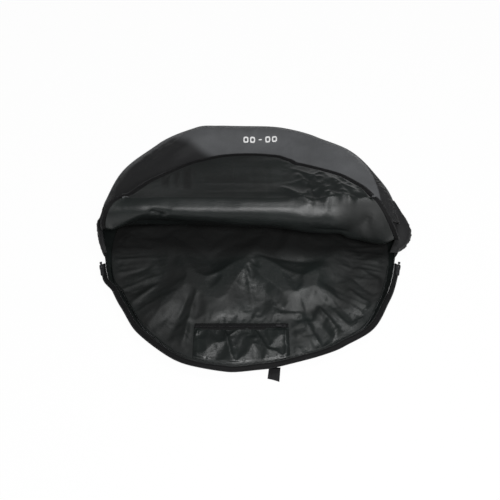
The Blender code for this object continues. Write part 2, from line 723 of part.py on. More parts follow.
def pull(name, frame, forward, top, length, width, thickness, eye_bar, eye_length, arch_width):
    """A flat pull whose eye runs under the bridge of its slider."""
    axis_z = top + FIT + thickness / 2
    body = rounded_plate(length, width, width / 3, -thickness / 2, thickness)
    back = length / 2 - eye_bar / 2
    bmesh.ops.translate(body, verts=body.verts, vec=(back, 0.0, 0.0))
    hole = rounded_plate(eye_length, arch_width + 2.0 * PULL_EYE_SIDE_GAP, arch_width / 4,
                         -thickness, 2.0 * thickness)
    bmesh.ops.translate(hole, verts=hole.verts, vec=(eye_bar / 2 + eye_length / 2, 0.0, 0.0))
    facing = Matrix.Identity(4) if forward else Matrix.Rotation(math.pi, 4, "Z")
    place = frame @ Matrix.Translation((0.0, 0.0, axis_z)) @ facing
    for part in (body, hole):
        bmesh.ops.transform(part, verts=part.verts, matrix=place)
    made = add_mesh(name, body, ZIP_METAL, place.translation)
    eye = made.modifiers.new("eye", "BOOLEAN")
    eye.operation = "DIFFERENCE"
    eye.object = guide(name + "_eye_guide", hole)


def pocket_bottom(x):
    radius = BASE_RADIUS - FABRIC / 2 - FIT - LINING - FIT - POCKET_RIM_GAP
    return -math.sqrt(radius * radius - x * x)


def pocket():
    """Flat zipped pocket sewn on the lining of the back panel."""
    panel_top = POCKET_TOP_Y - POCKET_CHAIN_WIDTH / 2

    def panel(u, v, depth):
        x = POCKET_LEFT_X + (POCKET_RIGHT_X - POCKET_LEFT_X) * u
        return (x, panel_top + (pocket_bottom(x) - panel_top) * v, BACK_TOP_Z + FIT + depth)

    layered_sheet("pocket_panel", LINER, panel, 0.0, POCKET_FABRIC, FOLD_STEPS, 2)
    chain_half = POCKET_CHAIN_WIDTH / 2
    for name, way in (("pocket_tape_upper", 1.0), ("pocket_tape_lower", -1.0)):

        def tape(u, v, depth, way=way):
            x = POCKET_LEFT_X + (POCKET_RIGHT_X - POCKET_LEFT_X) * u
            out = chain_half + FIT + POCKET_TAPE_WIDTH * v
            return (x, POCKET_TOP_Y + way * out, POCKET_TAPE_Z + depth)

        layered_sheet(name, WEBBING, tape, 0.0, TAPE_THICKNESS, 1, 1)
    pocket_chain(chain_half)


def pocket_chain(half):
    """Closed row of teeth, drawn as one strip with notched sides."""
    run = POCKET_RIGHT_X - POCKET_LEFT_X
    count = int(run / POCKET_TOOTH_PITCH)
    pitch = run / count
    waist = half - POCKET_TOOTH_DIP
    left, right = [], []
    for i in range(count):
        x = POCKET_LEFT_X + i * pitch
        tooth_end = x + pitch * POCKET_TOOTH_SHARE
        left += [(x, half), (tooth_end, half), (tooth_end, waist), (x + pitch, waist)]
    right = [(x, -y) for x, y in reversed(left)]
    outline = [(x, POCKET_TOP_Y + y, POCKET_TAPE_Z) for x, y in left + right]
    bm = bmesh.new()
    extruded(bm, outline, Vector((0.0, 0.0, POCKET_CHAIN_HEIGHT)))
    add_mesh("pocket_zip_teeth", bm, ZIP_TEETH)


def pocket_slider():
    half = POCKET_CHAIN_WIDTH / 2 + SLIDER_CLEARANCE
    low = POCKET_TAPE_Z + TAPE_THICKNESS + FIT
    under = POCKET_TAPE_Z + POCKET_CHAIN_HEIGHT + FIT
    top = under + POCKET_SLIDER_WALL
    x = POCKET_RIGHT_X - POCKET_SLIDER_INSET - POCKET_SLIDER_LENGTH
    outer = half + POCKET_SLIDER_WALL
    section = [(-outer, low), (-half, low), (-half, under), (half, under), (half, low), (outer, low),
               (outer, top), (-outer, top)]
    bm = bmesh.new()
    start = -POCKET_SLIDER_LENGTH / 2
    extruded(bm, [(start, y, z) for y, z in section], Vector((POCKET_SLIDER_LENGTH, 0.0, 0.0)))
    frame = Matrix.Translation((x, POCKET_TOP_Y, 0.0))
    bmesh.ops.transform(bm, verts=bm.verts, matrix=frame)
    slider = add_mesh("pocket_slider", bm, ZIP_METAL)
    outline = arch_outline(POCKET_ARCH_LENGTH, POCKET_ARCH_HEIGHT, POCKET_ARCH_BAR, top,
                           POCKET_SLIDER_WALL / 2)
    join_arch(slider, outline, POCKET_ARCH_WIDTH, frame)
    pull("pocket_pull", frame, False, top, POCKET_PULL_LENGTH, POCKET_PULL_WIDTH,
         POCKET_PULL_THICKNESS, POCKET_EYE_BAR, POCKET_EYE_LENGTH, POCKET_ARCH_WIDTH)


def webbing_tab():
    """Short loop of webbing, folded flat, sewn under the near rim."""
    left = TAB_X - TAB_WIDTH / 2
    binding_edge = BINDING_LINE + BINDING_RADIUS
    sewn_y = -math.sqrt(binding_edge * binding_edge - left * left) - FIT
    tip_y = sewn_y - TAB_REACH
    low, high = TAB_Z, TAB_Z + 2.0 * TAB_THICKNESS + TAB_FOLD_GAP
    inner_low, inner_high = low + TAB_THICKNESS, high - TAB_THICKNESS
    turn_y = tip_y + TAB_THICKNESS
    section = [(sewn_y, low), (tip_y + TAB_THICKNESS / 2, low), (tip_y, inner_low), (tip_y, inner_high),
               (tip_y + TAB_THICKNESS / 2, high), (sewn_y, high), (sewn_y, inner_high),
               (turn_y, inner_high), (turn_y, inner_low), (sewn_y, inner_low)]
    bm = bmesh.new()
    extruded(bm, [(left, y, z) for y, z in section], Vector((TAB_WIDTH, 0.0, 0.0)))
    for vert in bm.verts:
        share = (sewn_y - vert.co.y) / TAB_REACH
        vert.co.y -= share * TAB_SLANT * (vert.co.x - left) / TAB_WIDTH
    add_mesh("webbing_tab", bm, WEBBING, (TAB_X, sewn_y, high))


def build():
    for item in list(bpy.data.objects):
        bpy.data.objects.remove(item, do_unlink=True)
    back_layers()
    gussets()
    cover()
    fold()
    flap()
    base_zip()
    zip_ears()
    for side in ("left", "right"):
        main_slider(side)
    pocket()
    pocket_slider()
    webbing_tab()


build()
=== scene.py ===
"""Looks of a round padded wheel bag that lies open, laid out as an add-on and run as a script."""
import math

import bmesh
import bpy
import numpy as np
from bpy.props import FloatProperty, FloatVectorProperty, PointerProperty
from bpy.types import Operator, Panel, PropertyGroup
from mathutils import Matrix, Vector
from mathutils.bvhtree import BVHTree


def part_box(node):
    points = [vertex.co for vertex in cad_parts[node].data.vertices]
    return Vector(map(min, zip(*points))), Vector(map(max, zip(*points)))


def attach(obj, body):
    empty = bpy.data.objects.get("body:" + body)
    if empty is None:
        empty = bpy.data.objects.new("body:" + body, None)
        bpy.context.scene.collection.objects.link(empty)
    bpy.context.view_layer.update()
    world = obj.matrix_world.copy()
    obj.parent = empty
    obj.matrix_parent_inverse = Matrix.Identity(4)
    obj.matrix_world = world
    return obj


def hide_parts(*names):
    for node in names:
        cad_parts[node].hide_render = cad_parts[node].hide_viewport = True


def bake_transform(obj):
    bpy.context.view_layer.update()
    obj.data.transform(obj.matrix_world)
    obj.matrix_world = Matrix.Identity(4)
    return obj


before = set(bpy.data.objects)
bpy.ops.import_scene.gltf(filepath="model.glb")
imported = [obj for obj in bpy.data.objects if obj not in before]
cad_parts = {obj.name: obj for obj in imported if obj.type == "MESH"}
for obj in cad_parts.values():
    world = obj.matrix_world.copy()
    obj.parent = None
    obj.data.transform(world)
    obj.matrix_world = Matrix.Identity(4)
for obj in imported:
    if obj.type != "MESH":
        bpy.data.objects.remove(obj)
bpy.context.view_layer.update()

bl_info = {
    "name": "Wheel Bag",
    "version": (1, 0, 0),
    "blender": (4, 5, 0),
    "location": "3D View > Sidebar > Wheel Bag",
    "description": "Sews the visible cloth, zips and trim of a round padded wheel bag",
    "category": "Add Mesh",
}


def size_of(node):
    low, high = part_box(node)
    return Vector(low), Vector(high)


# Sizes read from the frame
NEAR_LOW, NEAR_HIGH = size_of("near_gusset")
FOLD_LOW, FOLD_HIGH = size_of("fold_lining")
FLAP_LOW, FLAP_HIGH = size_of("flap_lining")
POCKET_LOW, POCKET_HIGH = size_of("pocket_panel")
POCKET_TEETH_LOW, POCKET_TEETH_HIGH = size_of("pocket_zip_teeth")
TAB_LOW, TAB_HIGH = size_of("webbing_tab")

BASE_RADIUS = size_of("back_panel")[1].x
LINING_TOP = size_of("back_lining")[0].z + 0.0008
RIM_RADIUS = BASE_RADIUS + 0.022
FOLD_RADIUS = (FOLD_HIGH.z - FOLD_LOW.z) / 2
FOLD_Y = FOLD_HIGH.y
FOLD_Z = (FOLD_HIGH.z + FOLD_LOW.z) / 2
FOLD_ARC = math.pi * FOLD_RADIUS
PANEL = size_of("fold_outer")[0].y - FOLD_LOW.y
LIP_RADIUS = -NEAR_LOW.y
LIP_HEIGHT = NEAR_HIGH.z
LIP_ANGLE = math.radians(-10.0)
FOLD_ANGLE = math.asin(FOLD_Y / RIM_RADIUS)
FLAP_RADIUS = 0.342
FLAP_CENTRE_Y = FLAP_HIGH.y - FLAP_RADIUS
FLAP_SLOPE = (FLAP_HIGH.z - FLAP_LOW.z) / (FLAP_HIGH.y - FOLD_Y)

# Sizes fitted to the photo
SEAM_Z = 0.0006
RIM_ROUND = 0.010
RIM_SPREAD = 0.004
COVER_HEIGHT = 0.100
POCKET_DEPTH, POCKET_TAPES = 0.115, 0.0176
TRIM_GAP = 0.0003
CORD_RADIUS = 0.0018
TAPE_WIDTH, TAPE_THICKNESS = 0.0085, 0.0008
TOOTH_REACH = 0.0044
TOOTH_HOLD = 0.0034
TOOTH_SIZE = (TOOTH_REACH, 0.0017, 0.0021)
CLOTH = 0.0010
WORLD_LIGHT = 0.12


# Numbers that repeat the same way each run


def lattice(x, y, seed):
    """Smooth random height over a plane, about -1 to 1, with cells one unit wide."""
    size = 64
    turns = np.random.default_rng(seed).uniform(0.0, math.tau, (size, size))
    xi, yi = np.floor(x).astype(int), np.floor(y).astype(int)
    xf, yf = x - xi, y - yi
    fade_x = xf * xf * xf * (xf * (xf * 6.0 - 15.0) + 10.0)
    fade_y = yf * yf * yf * (yf * (yf * 6.0 - 15.0) + 10.0)

    def corner(i, j):
        turn = turns[(xi + i) % size, (yi + j) % size]
        return np.cos(turn) * (xf - i) + np.sin(turn) * (yf - j)

    low = corner(0, 0) * (1.0 - fade_x) + corner(1, 0) * fade_x
    high = corner(0, 1) * (1.0 - fade_x) + corner(1, 1) * fade_x
    return 1.41 * (low * (1.0 - fade_y) + high * fade_y)


def ripples(x, y, cell, seed, octaves=3):
    """Soft unevenness, cell metres across."""
    total, share = 0.0, 1.0
    for octave in range(octaves):
        scale = 2.0 ** octave / cell
        total = total + share * lattice(x * scale, y * scale, seed + octave)
        share *= 0.5
    return total


def crumple(x, y, cell, seed, octaves=3):
    """Sharp ridges with soft hollows between them, as in thin coated cloth; 0 to about 1."""
    total, share, whole = 0.0, 1.0, 0.0
    for octave in range(octaves):
        scale = 2.0 ** octave / cell
        bend = 0.35 * lattice(x * scale * 0.7 + 9.1, y * scale * 0.7, seed + 40 + octave)
        ridge = 1.0 - np.abs(lattice(x * scale + bend, y * scale - bend, seed + octave)) * 2.0
        total = total + share * np.clip(ridge, 0.0, 1.0) ** 1.6
        whole += share
        share *= 0.45
    return total / whole


def smooth(share):
    held = np.clip(share, 0.0, 1.0)
    return held * held * (3.0 - 2.0 * held)


def crease(x, y, folds):
    """Height of listed folds: (x0, y0, x1, y1, width, height) each, with a narrow crest."""
    total = np.zeros_like(x)
    for x0, y0, x1, y1, width, height in folds:
        dx, dy = x1 - x0, y1 - y0
        length = math.hypot(dx, dy)
        along = ((x - x0) * dx + (y - y0) * dy) / (length * length)
        across = ((x - x0) * dy - (y - y0) * dx) / length
        taper = smooth((along + 0.18) / 0.36) * smooth((1.18 - along) / 0.36)
        wide = width * (0.55 + 0.9 * np.clip(along, 0.0, 1.0))
        total = total + height * taper * np.exp(0.5 - np.hypot(across / wide, 0.5)) * (1.0 - 0.25 * along)
    return total


def step_of(table, at):
    """The table's places and values, and for each asked place its step, and the share of it passed."""
    places, values = np.array(table).T
    index = np.clip(np.searchsorted(places, at) - 1, 0, len(places) - 2)
    step = places[index + 1] - places[index]
    return places, values, index, step, (at - places[index]) / step


def eased(table, at):
    """Read a table of (place, value) with a curve that stops at each of its points."""
    _, values, index, _, share = step_of(table, at)
    return values[index] + (values[index + 1] - values[index]) * smooth(share)


def curved(table, at):
    """Read a table of (place, value) with a curve that runs through its points without a stop."""
    places, values, index, step, share = step_of(table, at)
    slopes = np.gradient(values, places)
    rest = 1.0 - share
    return (values[index] * rest * rest * (1.0 + 2.0 * share)
            + values[index + 1] * share * share * (3.0 - 2.0 * share)
            + step * share * rest * (slopes[index] * rest - slopes[index + 1] * share))


# Meshes


def placed(name, data):
    made = bpy.data.objects.new(name, data)
    bpy.context.collection.objects.link(made)
    return made


def quads(index, closed=False):
    """Faces between the neighbours in a grid of vertex numbers."""
    first = index if closed else index[:-1]
    second = np.roll(index, -1, axis=0) if closed else index[1:]
    return np.stack([first[:, :-1], second[:, :-1], second[:, 1:], first[:, 1:]], axis=-1).reshape(-1, 4)


def cloth_object(name, points, corners, faces):
    """A smooth mesh of one or two layers of a grid of points, with the grid's lengths as its UV map."""
    mesh = bpy.data.meshes.new(name)
    mesh.from_pydata(corners.tolist(), [], faces.tolist())
    steps = [np.linalg.norm(np.diff(points, axis=axis), axis=2).mean(axis=1 - axis) for axis in (0, 1)]
    along = [np.concatenate([[0.0], np.cumsum(step)]) for step in steps]
    flat = np.stack(np.meshgrid(*along, indexing="ij"), axis=-1).reshape(-1, 2)
    flat = np.tile(flat, (len(corners) // len(flat), 1))
    loops = np.empty(len(mesh.loops), dtype=np.int32)
    mesh.loops.foreach_get("vertex_index", loops)
    mesh.uv_layers.new(name="cloth").data.foreach_set("uv", flat[loops].astype(np.float32).ravel())
    mesh.shade_smooth()
    return placed(name, mesh)


def grid_object(name, points, closed=False):
    """A sheet of quads from an array of points."""
    index = np.arange(points[..., 0].size).reshape(points.shape[:2])
    return cloth_object(name, points, points.reshape(-1, 3), quads(index, closed))


def plain(made):
    """Turn an object's modifiers into its mesh."""
    graph = bpy.context.evaluated_depsgraph_get()
    mesh = bpy.data.meshes.new_from_object(made.evaluated_get(graph), depsgraph=graph)
    made.modifiers.clear()
    made.data = mesh


def weights(made, name, values):
    group = made.vertex_groups.new(name=name)
    flat = values.ravel()
    for index in np.flatnonzero(flat > 0.0):
        group.add([int(index)], float(flat[index]), "REPLACE")
    return name


def relax(points, pinned, grow, room=None, frames=20, bend=4.0):
    """Let a grid of points settle as cloth cut larger than its place by the share grow, its full
    amount where room is 1. It is held where pinned is 1, and ends on or above the sheet it began as."""
    made = grid_object("settling", points)
    cloth = made.modifiers.new("cloth", "CLOTH")
    rules = cloth.settings
    rules.quality = 6
    rules.mass = 0.15
    rules.air_damping = 2.0
    rules.tension_stiffness = rules.compression_stiffness = 60.0
    rules.shear_stiffness = 30.0
    rules.bending_stiffness = bend
    rules.tension_damping = rules.compression_damping = 10.0
    rules.effector_weights.gravity = 0.0
    rules.vertex_group_mass = weights(made, "pin", pinned)
    if room is None:
        rules.shrink_min = -grow
    else:
        rules.vertex_group_shrink = weights(made, "room", room)
        rules.shrink_min, rules.shrink_max = 0.0, -grow
    cloth.collision_settings.use_collision = False
    cloth.point_cache.frame_start, cloth.point_cache.frame_end = 1, frames
    for frame_number in range(1, frames + 1):
        bpy.context.scene.frame_set(frame_number)
    plain(made)
    bpy.context.scene.frame_set(1)
    found = np.empty(points.size)
    made.data.vertices.foreach_get("co", found)
    bpy.data.objects.remove(made, do_unlink=True)
    found = found.reshape(points.shape)
    up = grid_normals(points)
    off = np.sum((found - points) * up, axis=-1, keepdims=True)
    return found + up * (np.hypot(off + 0.0008, 0.0007) - 0.0010 - off)


def grid_normals(points):
    up = np.cross(np.gradient(points, axis=0), np.gradient(points, axis=1))
    return up / np.maximum(np.linalg.norm(up, axis=-1, keepdims=True), 1e-12)


def finer(points):
    """Twice as many steps each way, on a smooth curve through the old ones."""
    for axis in (0, 1):
        line = np.moveaxis(points, axis, 0)
        before = np.concatenate([2.0 * line[:1] - line[1:2], line[:-2]])
        after = np.concatenate([line[2:], 2.0 * line[-1:] - line[-2:-1]])
        between = (9.0 * (line[:-1] + line[1:]) - before - after) / 16.0
        dense = np.empty((2 * len(line) - 1, *line.shape[1:]))
        dense[0::2], dense[1::2] = line, between
        points = np.moveaxis(dense, 0, axis)
    return points


def give_dim(made, values):
    """Store how far the cloth's colour is darkened at each point, 0 to 1: mostly painted shade, partly tone that
    varies at random.
    """
    layer = made.data.attributes.new("dim", "FLOAT", "POINT")
    layer.data.foreach_set("value", np.asarray(values, dtype=np.float32).ravel())


def dress(made, *kinds):
    for kind in kinds:
        made.data.materials.append(finish_of(kind))


def settle(made, body, nodes=()):
    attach(made, body)
    if nodes:
        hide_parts(*nodes)


def sew(name, points, kind, thickness, offset=-1.0, closed=False, dim=None):
    """A sheet of cloth through a grid of points, with its finish and its thickness."""
    made = grid_object(name, points, closed)
    if dim is not None:
        give_dim(made, dim)
    dress(made, kind)
    shell = made.modifiers.new("thickness", "SOLIDIFY")
    shell.thickness, shell.offset = thickness, offset
    shell.use_quality_normals = True
    plain(made)
    return made


def pad(name, points, up, top, under, dim, dim_under=0.0):
    """A closed padded panel under a grid of points, with a finish on each side."""
    count = points[..., 0].size
    index = np.arange(count).reshape(points.shape[:2])
    upper = quads(index)
    lower = np.roll(quads(index + count)[:, ::-1], 1, axis=1)
    ring = np.concatenate([index[:-1, 0], index[-1, :-1], index[:0:-1, -1], index[0, :0:-1]])
    after = np.roll(ring, -1)
    wall = np.stack([ring, ring + count, after + count, after], axis=-1)
    both = np.concatenate([points.reshape(-1, 3), (points - up * PANEL).reshape(-1, 3)])
    made = cloth_object(name, points, both, np.concatenate([upper, wall, lower]))
    dress(made, top, under)
    sides = np.zeros(len(made.data.polygons), dtype=np.int32)
    sides[len(upper) + len(wall):] = 1
    made.data.polygons.foreach_set("material_index", sides)
    normals = np.concatenate([up.reshape(-1, 3), -up.reshape(-1, 3)])
    made.data.normals_split_custom_set_from_vertices(normals.tolist())
    give_dim(made, np.outer((1.0, dim_under), dim))
    return made


def cord(name, points, radius, kind, body, nodes=(), closed=False):
    """A round cord through the points."""
    curve = bpy.data.curves.new(name, "CURVE")
    curve.dimensions = "3D"
    curve.bevel_depth, curve.bevel_resolution = radius, 2
    curve.use_fill_caps = not closed
    line = curve.splines.new("POLY")
    line.points.add(len(points) - 1)
    for point, place in zip(line.points, points):
        point.co = (*place, 1.0)
    line.use_cyclic_u = closed
    shape = placed(name + "_line", curve)
    graph = bpy.context.evaluated_depsgraph_get()
    mesh = bpy.data.meshes.new_from_object(shape.evaluated_get(graph), depsgraph=graph)
    bpy.data.objects.remove(shape, do_unlink=True)
    bpy.data.curves.remove(curve)
    mesh.name = name
    mesh.shade_smooth()
    made = placed(name, mesh)
    dress(made, kind)
    settle(made, body, nodes)


# Materials


class Finish:
    """Short hand for building one node material."""

    def __init__(self, name, colour, roughness, specular, metallic=0.0):
        self.material = bpy.data.materials.new(name)
        self.material.use_nodes = True
        self.tree = self.material.node_tree
        self.shader = self.tree.nodes["Principled BSDF"]
        self.colour = tuple(colour)
        self.set("Base Color", (*colour, 1.0))
        self.set("Roughness", roughness)
        self.set("Metallic", metallic)
        self.set("Specular IOR Level", specular)

    def set(self, socket, value):
        self.shader.inputs[socket].default_value = value

    def node(self, kind, **values):
        made = self.tree.nodes.new(kind)
        for key, value in values.items():
            if key in made.inputs:
                made.inputs[key].default_value = value
            else:
                setattr(made, key, value)
        return made

    def link(self, source, target):
        self.tree.links.new(source, target)

    def drive(self, socket, source):
        self.link(source, self.shader.inputs[socket])

    def place(self, coordinates="Object", turn=0.0):
        source = self.node("ShaderNodeTexCoord")
        mapping = self.node("ShaderNodeMapping", Rotation=(0.0, 0.0, turn))
        self.link(source.outputs[coordinates], mapping.inputs["Vector"])
        return mapping.outputs["Vector"]

    def noise(self, vector, scale, detail=3.0, roughness=0.5):
        made = self.node("ShaderNodeTexNoise", Scale=scale, Detail=detail, Roughness=roughness)
        self.link(vector, made.inputs["Vector"])
        return made.outputs["Fac"]

    def bands(self, vector, scale, direction, distortion=0.0):
        made = self.node("ShaderNodeTexWave", Scale=scale, Distortion=distortion, bands_direction=direction)
        self.link(vector, made.inputs["Vector"])
        return made.outputs["Fac"]

    def math(self, operation, a, b):
        made = self.node("ShaderNodeMath", operation=operation)
        for socket, value in zip(made.inputs, (a, b)):
            if isinstance(value, (int, float)):
                socket.default_value = value
            else:
                self.link(value, socket)
        return made.outputs["Value"]

    def spread(self, value, low, high):
        made = self.node("ShaderNodeMapRange", **{"To Min": low, "To Max": high})
        self.link(value, made.inputs["Value"])
        return made.outputs["Result"]

    def tint(self, factor, dark, light):
        """Colour between two shades of the finish's own colour."""
        ramp = self.node("ShaderNodeValToRGB")
        for stop, share, place in zip(ramp.color_ramp.elements, (dark, light), (0.3, 0.7)):
            stop.color = (*(channel * share for channel in self.colour), 1.0)
            stop.position = place
        self.link(factor, ramp.inputs["Fac"])
        self.drive("Base Color", ramp.outputs["Color"])

    def shade(self, dark):
        """Turn the colour to a dark one where the mesh's dim value is 1, which paints shade into the colour; gives
        that value.
        """
        dim = self.node("ShaderNodeAttribute", attribute_name="dim").outputs["Fac"]
        blend = self.node("ShaderNodeMixRGB", Color2=(*dark, 1.0))
        self.link(dim, blend.inputs["Fac"])
        self.link(self.shader.inputs["Base Color"].links[0].from_socket, blend.inputs["Color1"])
        self.drive("Base Color", blend.outputs["Color"])
        return dim

    def bump(self, height, distance, strength, under=None):
        made = self.node("ShaderNodeBump", Strength=strength, Distance=distance)
        self.link(height, made.inputs["Height"])
        if under:
            self.link(under, made.inputs["Normal"])
        self.drive("Normal", made.outputs["Normal"])
        return made.outputs["Normal"]


def outer_cloth(name, colour, shade, crinkle):
    """Matt woven polyester with a fine canvas grain, darker where its mesh says so: mostly painted shade, partly tone
    that varies at random.
    """
    made = Finish(name, colour, 0.62, 0.20)
    cloth, place = made.place("UV"), made.place()
    weave = made.math("ADD", *(made.bands(cloth, 210.0, way, 0.4) for way in "XY"))
    grain = made.noise(place, 620.0, 2.0, 0.6)
    patches = made.math("MULTIPLY", made.noise(place, 14.0), 0.45)
    made.tint(made.math("ADD", made.math("MULTIPLY", grain, 0.55), patches), 0.78, 1.22)
    made.shade(shade)
    made.drive("Roughness", made.spread(made.noise(place, 40.0), 0.52, 0.68))
    low = made.bump(made.noise(place, 55.0, 4.0, 0.55), crinkle, 0.35)
    fine = made.bump(weave, 0.00025, 0.45, low)
    made.bump(grain, 0.0003, 0.35, fine)
    made.set("Sheen Weight", 0.08)
    made.set("Sheen Roughness", 0.5)
    return made.material


def lining_cloth(colour):
    """Thin coated nylon, glossy, with faint crinkles, darker and duller where its mesh says so: the darkening is
    mostly painted shade, the dullness a rougher gloss.
    """
    made = Finish("coated_lining", colour, 0.30, 0.46)
    cloth, place = made.place("UV"), made.place()
    made.tint(made.noise(place, 9.0, 4.0), 0.72, 1.25)
    # Painted shade: where dim is 1 the lining turns to 0.12 of its own colour.
    dim = made.shade(tuple(channel * 0.12 for channel in colour))
    gloss = made.spread(made.noise(place, 24.0, 3.0), 0.28, 0.46)
    made.drive("Roughness", made.math("ADD", gloss, made.math("MULTIPLY", dim, 0.50)))
    low = made.bump(made.noise(place, 34.0, 5.0, 0.58), 0.0030, 0.40)
    thread = made.math("ADD", *(made.bands(cloth, 260.0, way) for way in "XY"))
    made.bump(thread, 0.00012, 0.30, low)
    return made.material


def tape_cloth(colour):
    """Herringbone tape of the zips and bindings."""
    made = Finish("woven_tape", colour, 0.72, 0.18)
    cloth, place = made.place("UV"), made.place()
    twill = made.bands(made.place("UV", math.radians(40.0)), 150.0, "X", 0.5)
    made.tint(made.math("MULTIPLY", twill, made.noise(cloth, 30.0)), 0.70, 1.35)
    low = made.bump(twill, 0.0003, 0.6)
    made.bump(made.noise(place, 300.0, 2.0), 0.0002, 0.4, low)
    return made.material


def webbing_cloth(colour):
    """Heavy webbing with ribs along its length."""
    made = Finish("ribbed_webbing", colour, 0.66, 0.2)
    place = made.place()
    ribs = made.bands(place, 105.0, "X", 0.2)
    cross = made.bands(place, 160.0, "Y", 0.4)
    made.tint(made.math("MULTIPLY", ribs, made.spread(cross, 0.6, 1.0)), 0.60, 1.35)
    made.bump(made.math("ADD", ribs, cross), 0.0004, 0.7)
    return made.material


def painted_zinc(colour):
    """Black paint on die-cast metal, rubbed brighter in spots."""
    made = Finish("painted_zinc", colour, 0.46, 0.25, metallic=0.10)
    place = made.place()
    worn = made.noise(place, 160.0, 4.0, 0.6)
    made.tint(worn, 0.75, 2.1)
    made.drive("Roughness", made.spread(worn, 0.54, 0.38))
    made.bump(made.noise(place, 420.0, 3.0), 0.00015, 0.35)
    return made.material


def speckled(name, colour, roughness, specular, speckle, tones, grain, strength):
    """A smooth coat with slight spots and a fine grain, for moulded plastic and for ink."""
    made = Finish(name, colour, roughness, specular)
    place = made.place()
    made.tint(made.noise(place, *speckle), *tones)
    made.bump(made.noise(place, grain, 2.0), 0.0001, strength)
    return made.material


SHELF = {}


def finish_of(kind):
    """The shared material of one kind, made when first asked for."""
    if kind not in SHELF:
        colours = bpy.context.scene.wheel_bag_colours
        makers = {
            # The wall colour paints shade: as the own colour of the walls and end patches, and on the outer cloth
            # where its dim value is 1.
            "outer": lambda: outer_cloth("outer_canvas", colours.outer, colours.wall, 0.0012),
            "wall": lambda: outer_cloth("wall_canvas_painted_shade", colours.wall, colours.wall, 0.0050),
            "lining": lambda: lining_cloth(colours.lining),
            "tape": lambda: tape_cloth(colours.tape),
            "webbing": lambda: webbing_cloth(colours.webbing),
            "plastic": lambda: speckled("zip_moulding", colours.teeth, 0.38, 0.3, (90.0,), (0.8, 1.2), 700.0, 0.3),
            "metal": lambda: painted_zinc(colours.metal),
            "ink": lambda: speckled("print_ink", colours.ink, 0.55, 0.4, (260.0, 4.0, 0.65), (0.86, 1.0), 500.0, 0.4),
        }
        SHELF[kind] = makers[kind]()
    return SHELF[kind]


# The bag's own shape

# Radius share added to the near rim, by angle in degrees
NEAR_WAVE = ((180.0, 0.0), (197.0, 0.0), (205.0, -0.034), (213.0, -0.032), (226.0, -0.004), (247.0, 0.020),
             (262.0, 0.002), (275.0, -0.024), (288.0, -0.030), (305.0, -0.006), (318.0, 0.028),
             (332.0, 0.006), (343.0, 0.0), (350.0, 0.0))
# Radius share added to the far shoulder, by angle in degrees
SHOULDER = ((-10.0, 0.0), (0.0, 0.026), (14.0, 0.020), (28.0, 0.014), (46.0, 0.044), (61.0, 0.006),
            (75.0, -0.004), (90.0, -0.016), (104.0, -0.010), (113.0, 0.010), (129.0, 0.058),
            (147.0, 0.096), (160.0, 0.080), (171.0, 0.022), (180.0, 0.0), (190.0, 0.0))
# How far the roll's front hangs, by place across
ROLL_SAG = ((-0.36, 0.004), (-0.25, -0.026), (0.0, -0.010), (0.20, 0.010), (0.33, 0.042), (0.36, 0.030))
# Unevenness of the flap's free edge, by place across
FLAP_EDGE = ((-0.312, 0.0), (-0.285, -0.022), (-0.228, -0.013), (-0.129, 0.006), (-0.065, 0.013),
             (0.0, 0.013), (0.070, 0.011), (0.095, 0.001), (0.116, -0.013), (0.167, -0.013),
             (0.229, -0.006), (0.268, -0.010), (0.295, -0.024), (0.310, -0.030))


def near_wave(angle):
    degrees = np.degrees(angle) % 360.0
    inside = smooth((degrees - 180.0) / 6.0) * smooth((350.0 - degrees) / 6.0)
    return inside * eased(NEAR_WAVE, np.clip(degrees, 180.0, 350.0))


def far_degrees(angle):
    degrees = np.degrees(angle)
    return np.where(degrees > 200.0, degrees - 360.0, degrees)


def shoulder_radius(angle):
    return RIM_RADIUS * (1.0 + eased(SHOULDER, far_degrees(angle)))


def hinge(value, softness):
    """Zero before the bend and one to one after it, with a soft corner."""
    return softness * np.logaddexp(0.0, value / softness)



def flap_height(y):
    return FLAP_HIGH.z - FLAP_SLOPE * (y - FOLD_Y)


def toward(x, y, degrees):
    """How far a place lies out in a direction."""
    return x * math.cos(math.radians(degrees)) + y * math.sin(math.radians(degrees))


def cover_plane(x, y):
    """Height of the cover's outside, before its rim is rounded."""
    crest = 0.014 * np.exp(-((toward(x, y, 149.6) - 0.290) / 0.050) ** 2)
    full = COVER_HEIGHT + crest * smooth((y - 0.17) / 0.10)
    full = full - 0.19 * hinge(toward(x, y, 210.0) - 0.002, 0.012) - 0.22 * hinge(toward(x, y, 42.2) - 0.335, 0.012)
    full = full - 0.10 * smooth((np.abs(x) - 0.26) / 0.12) * hinge(0.22 - y, 0.03)
    low = FOLD_LOW.z + PANEL
    full = low + (full - low) * smooth((y - FOLD_Y) / 0.11)
    under = flap_height(y) - PANEL - 0.004
    over = smooth((flap_edge(x) + 0.100 - y) / 0.090)
    return full - over * hinge(full - under, 0.0035)


def rim_height(angle):
    beyond = np.arcsin(np.sin(angle))
    to_fold = smooth((beyond - LIP_ANGLE) / (FOLD_ANGLE - LIP_ANGLE))
    radius = shoulder_radius(angle)
    full = cover_plane(radius * np.cos(angle), np.maximum(radius * np.sin(angle), FOLD_Y)) - RIM_ROUND
    return LIP_HEIGHT + (full - LIP_HEIGHT) * to_fold


def flap_edge(x):
    arc = np.sqrt(np.maximum(FLAP_RADIUS ** 2 - x * x, 0.0))
    return FLAP_CENTRE_Y + arc + eased(FLAP_EDGE, np.clip(x, -0.3119, 0.3099))


class BagSizes(PropertyGroup):
    wrinkle: FloatProperty(
        name="Wrinkle height", description="Height of the lining's largest crumples",
        default=0.0055, unit="LENGTH")
    stitch: FloatProperty(
        name="Stitch pitch", description="Distance from one stitch to the next",
        default=0.0042, unit="LENGTH")
    tooth_pitch: FloatProperty(
        name="Tooth pitch", description="Distance from one zip tooth to the next",
        default=0.0030, unit="LENGTH")


def colour(name, description, *value):
    return FloatVectorProperty(name=name, description=description, subtype="COLOR", default=value)


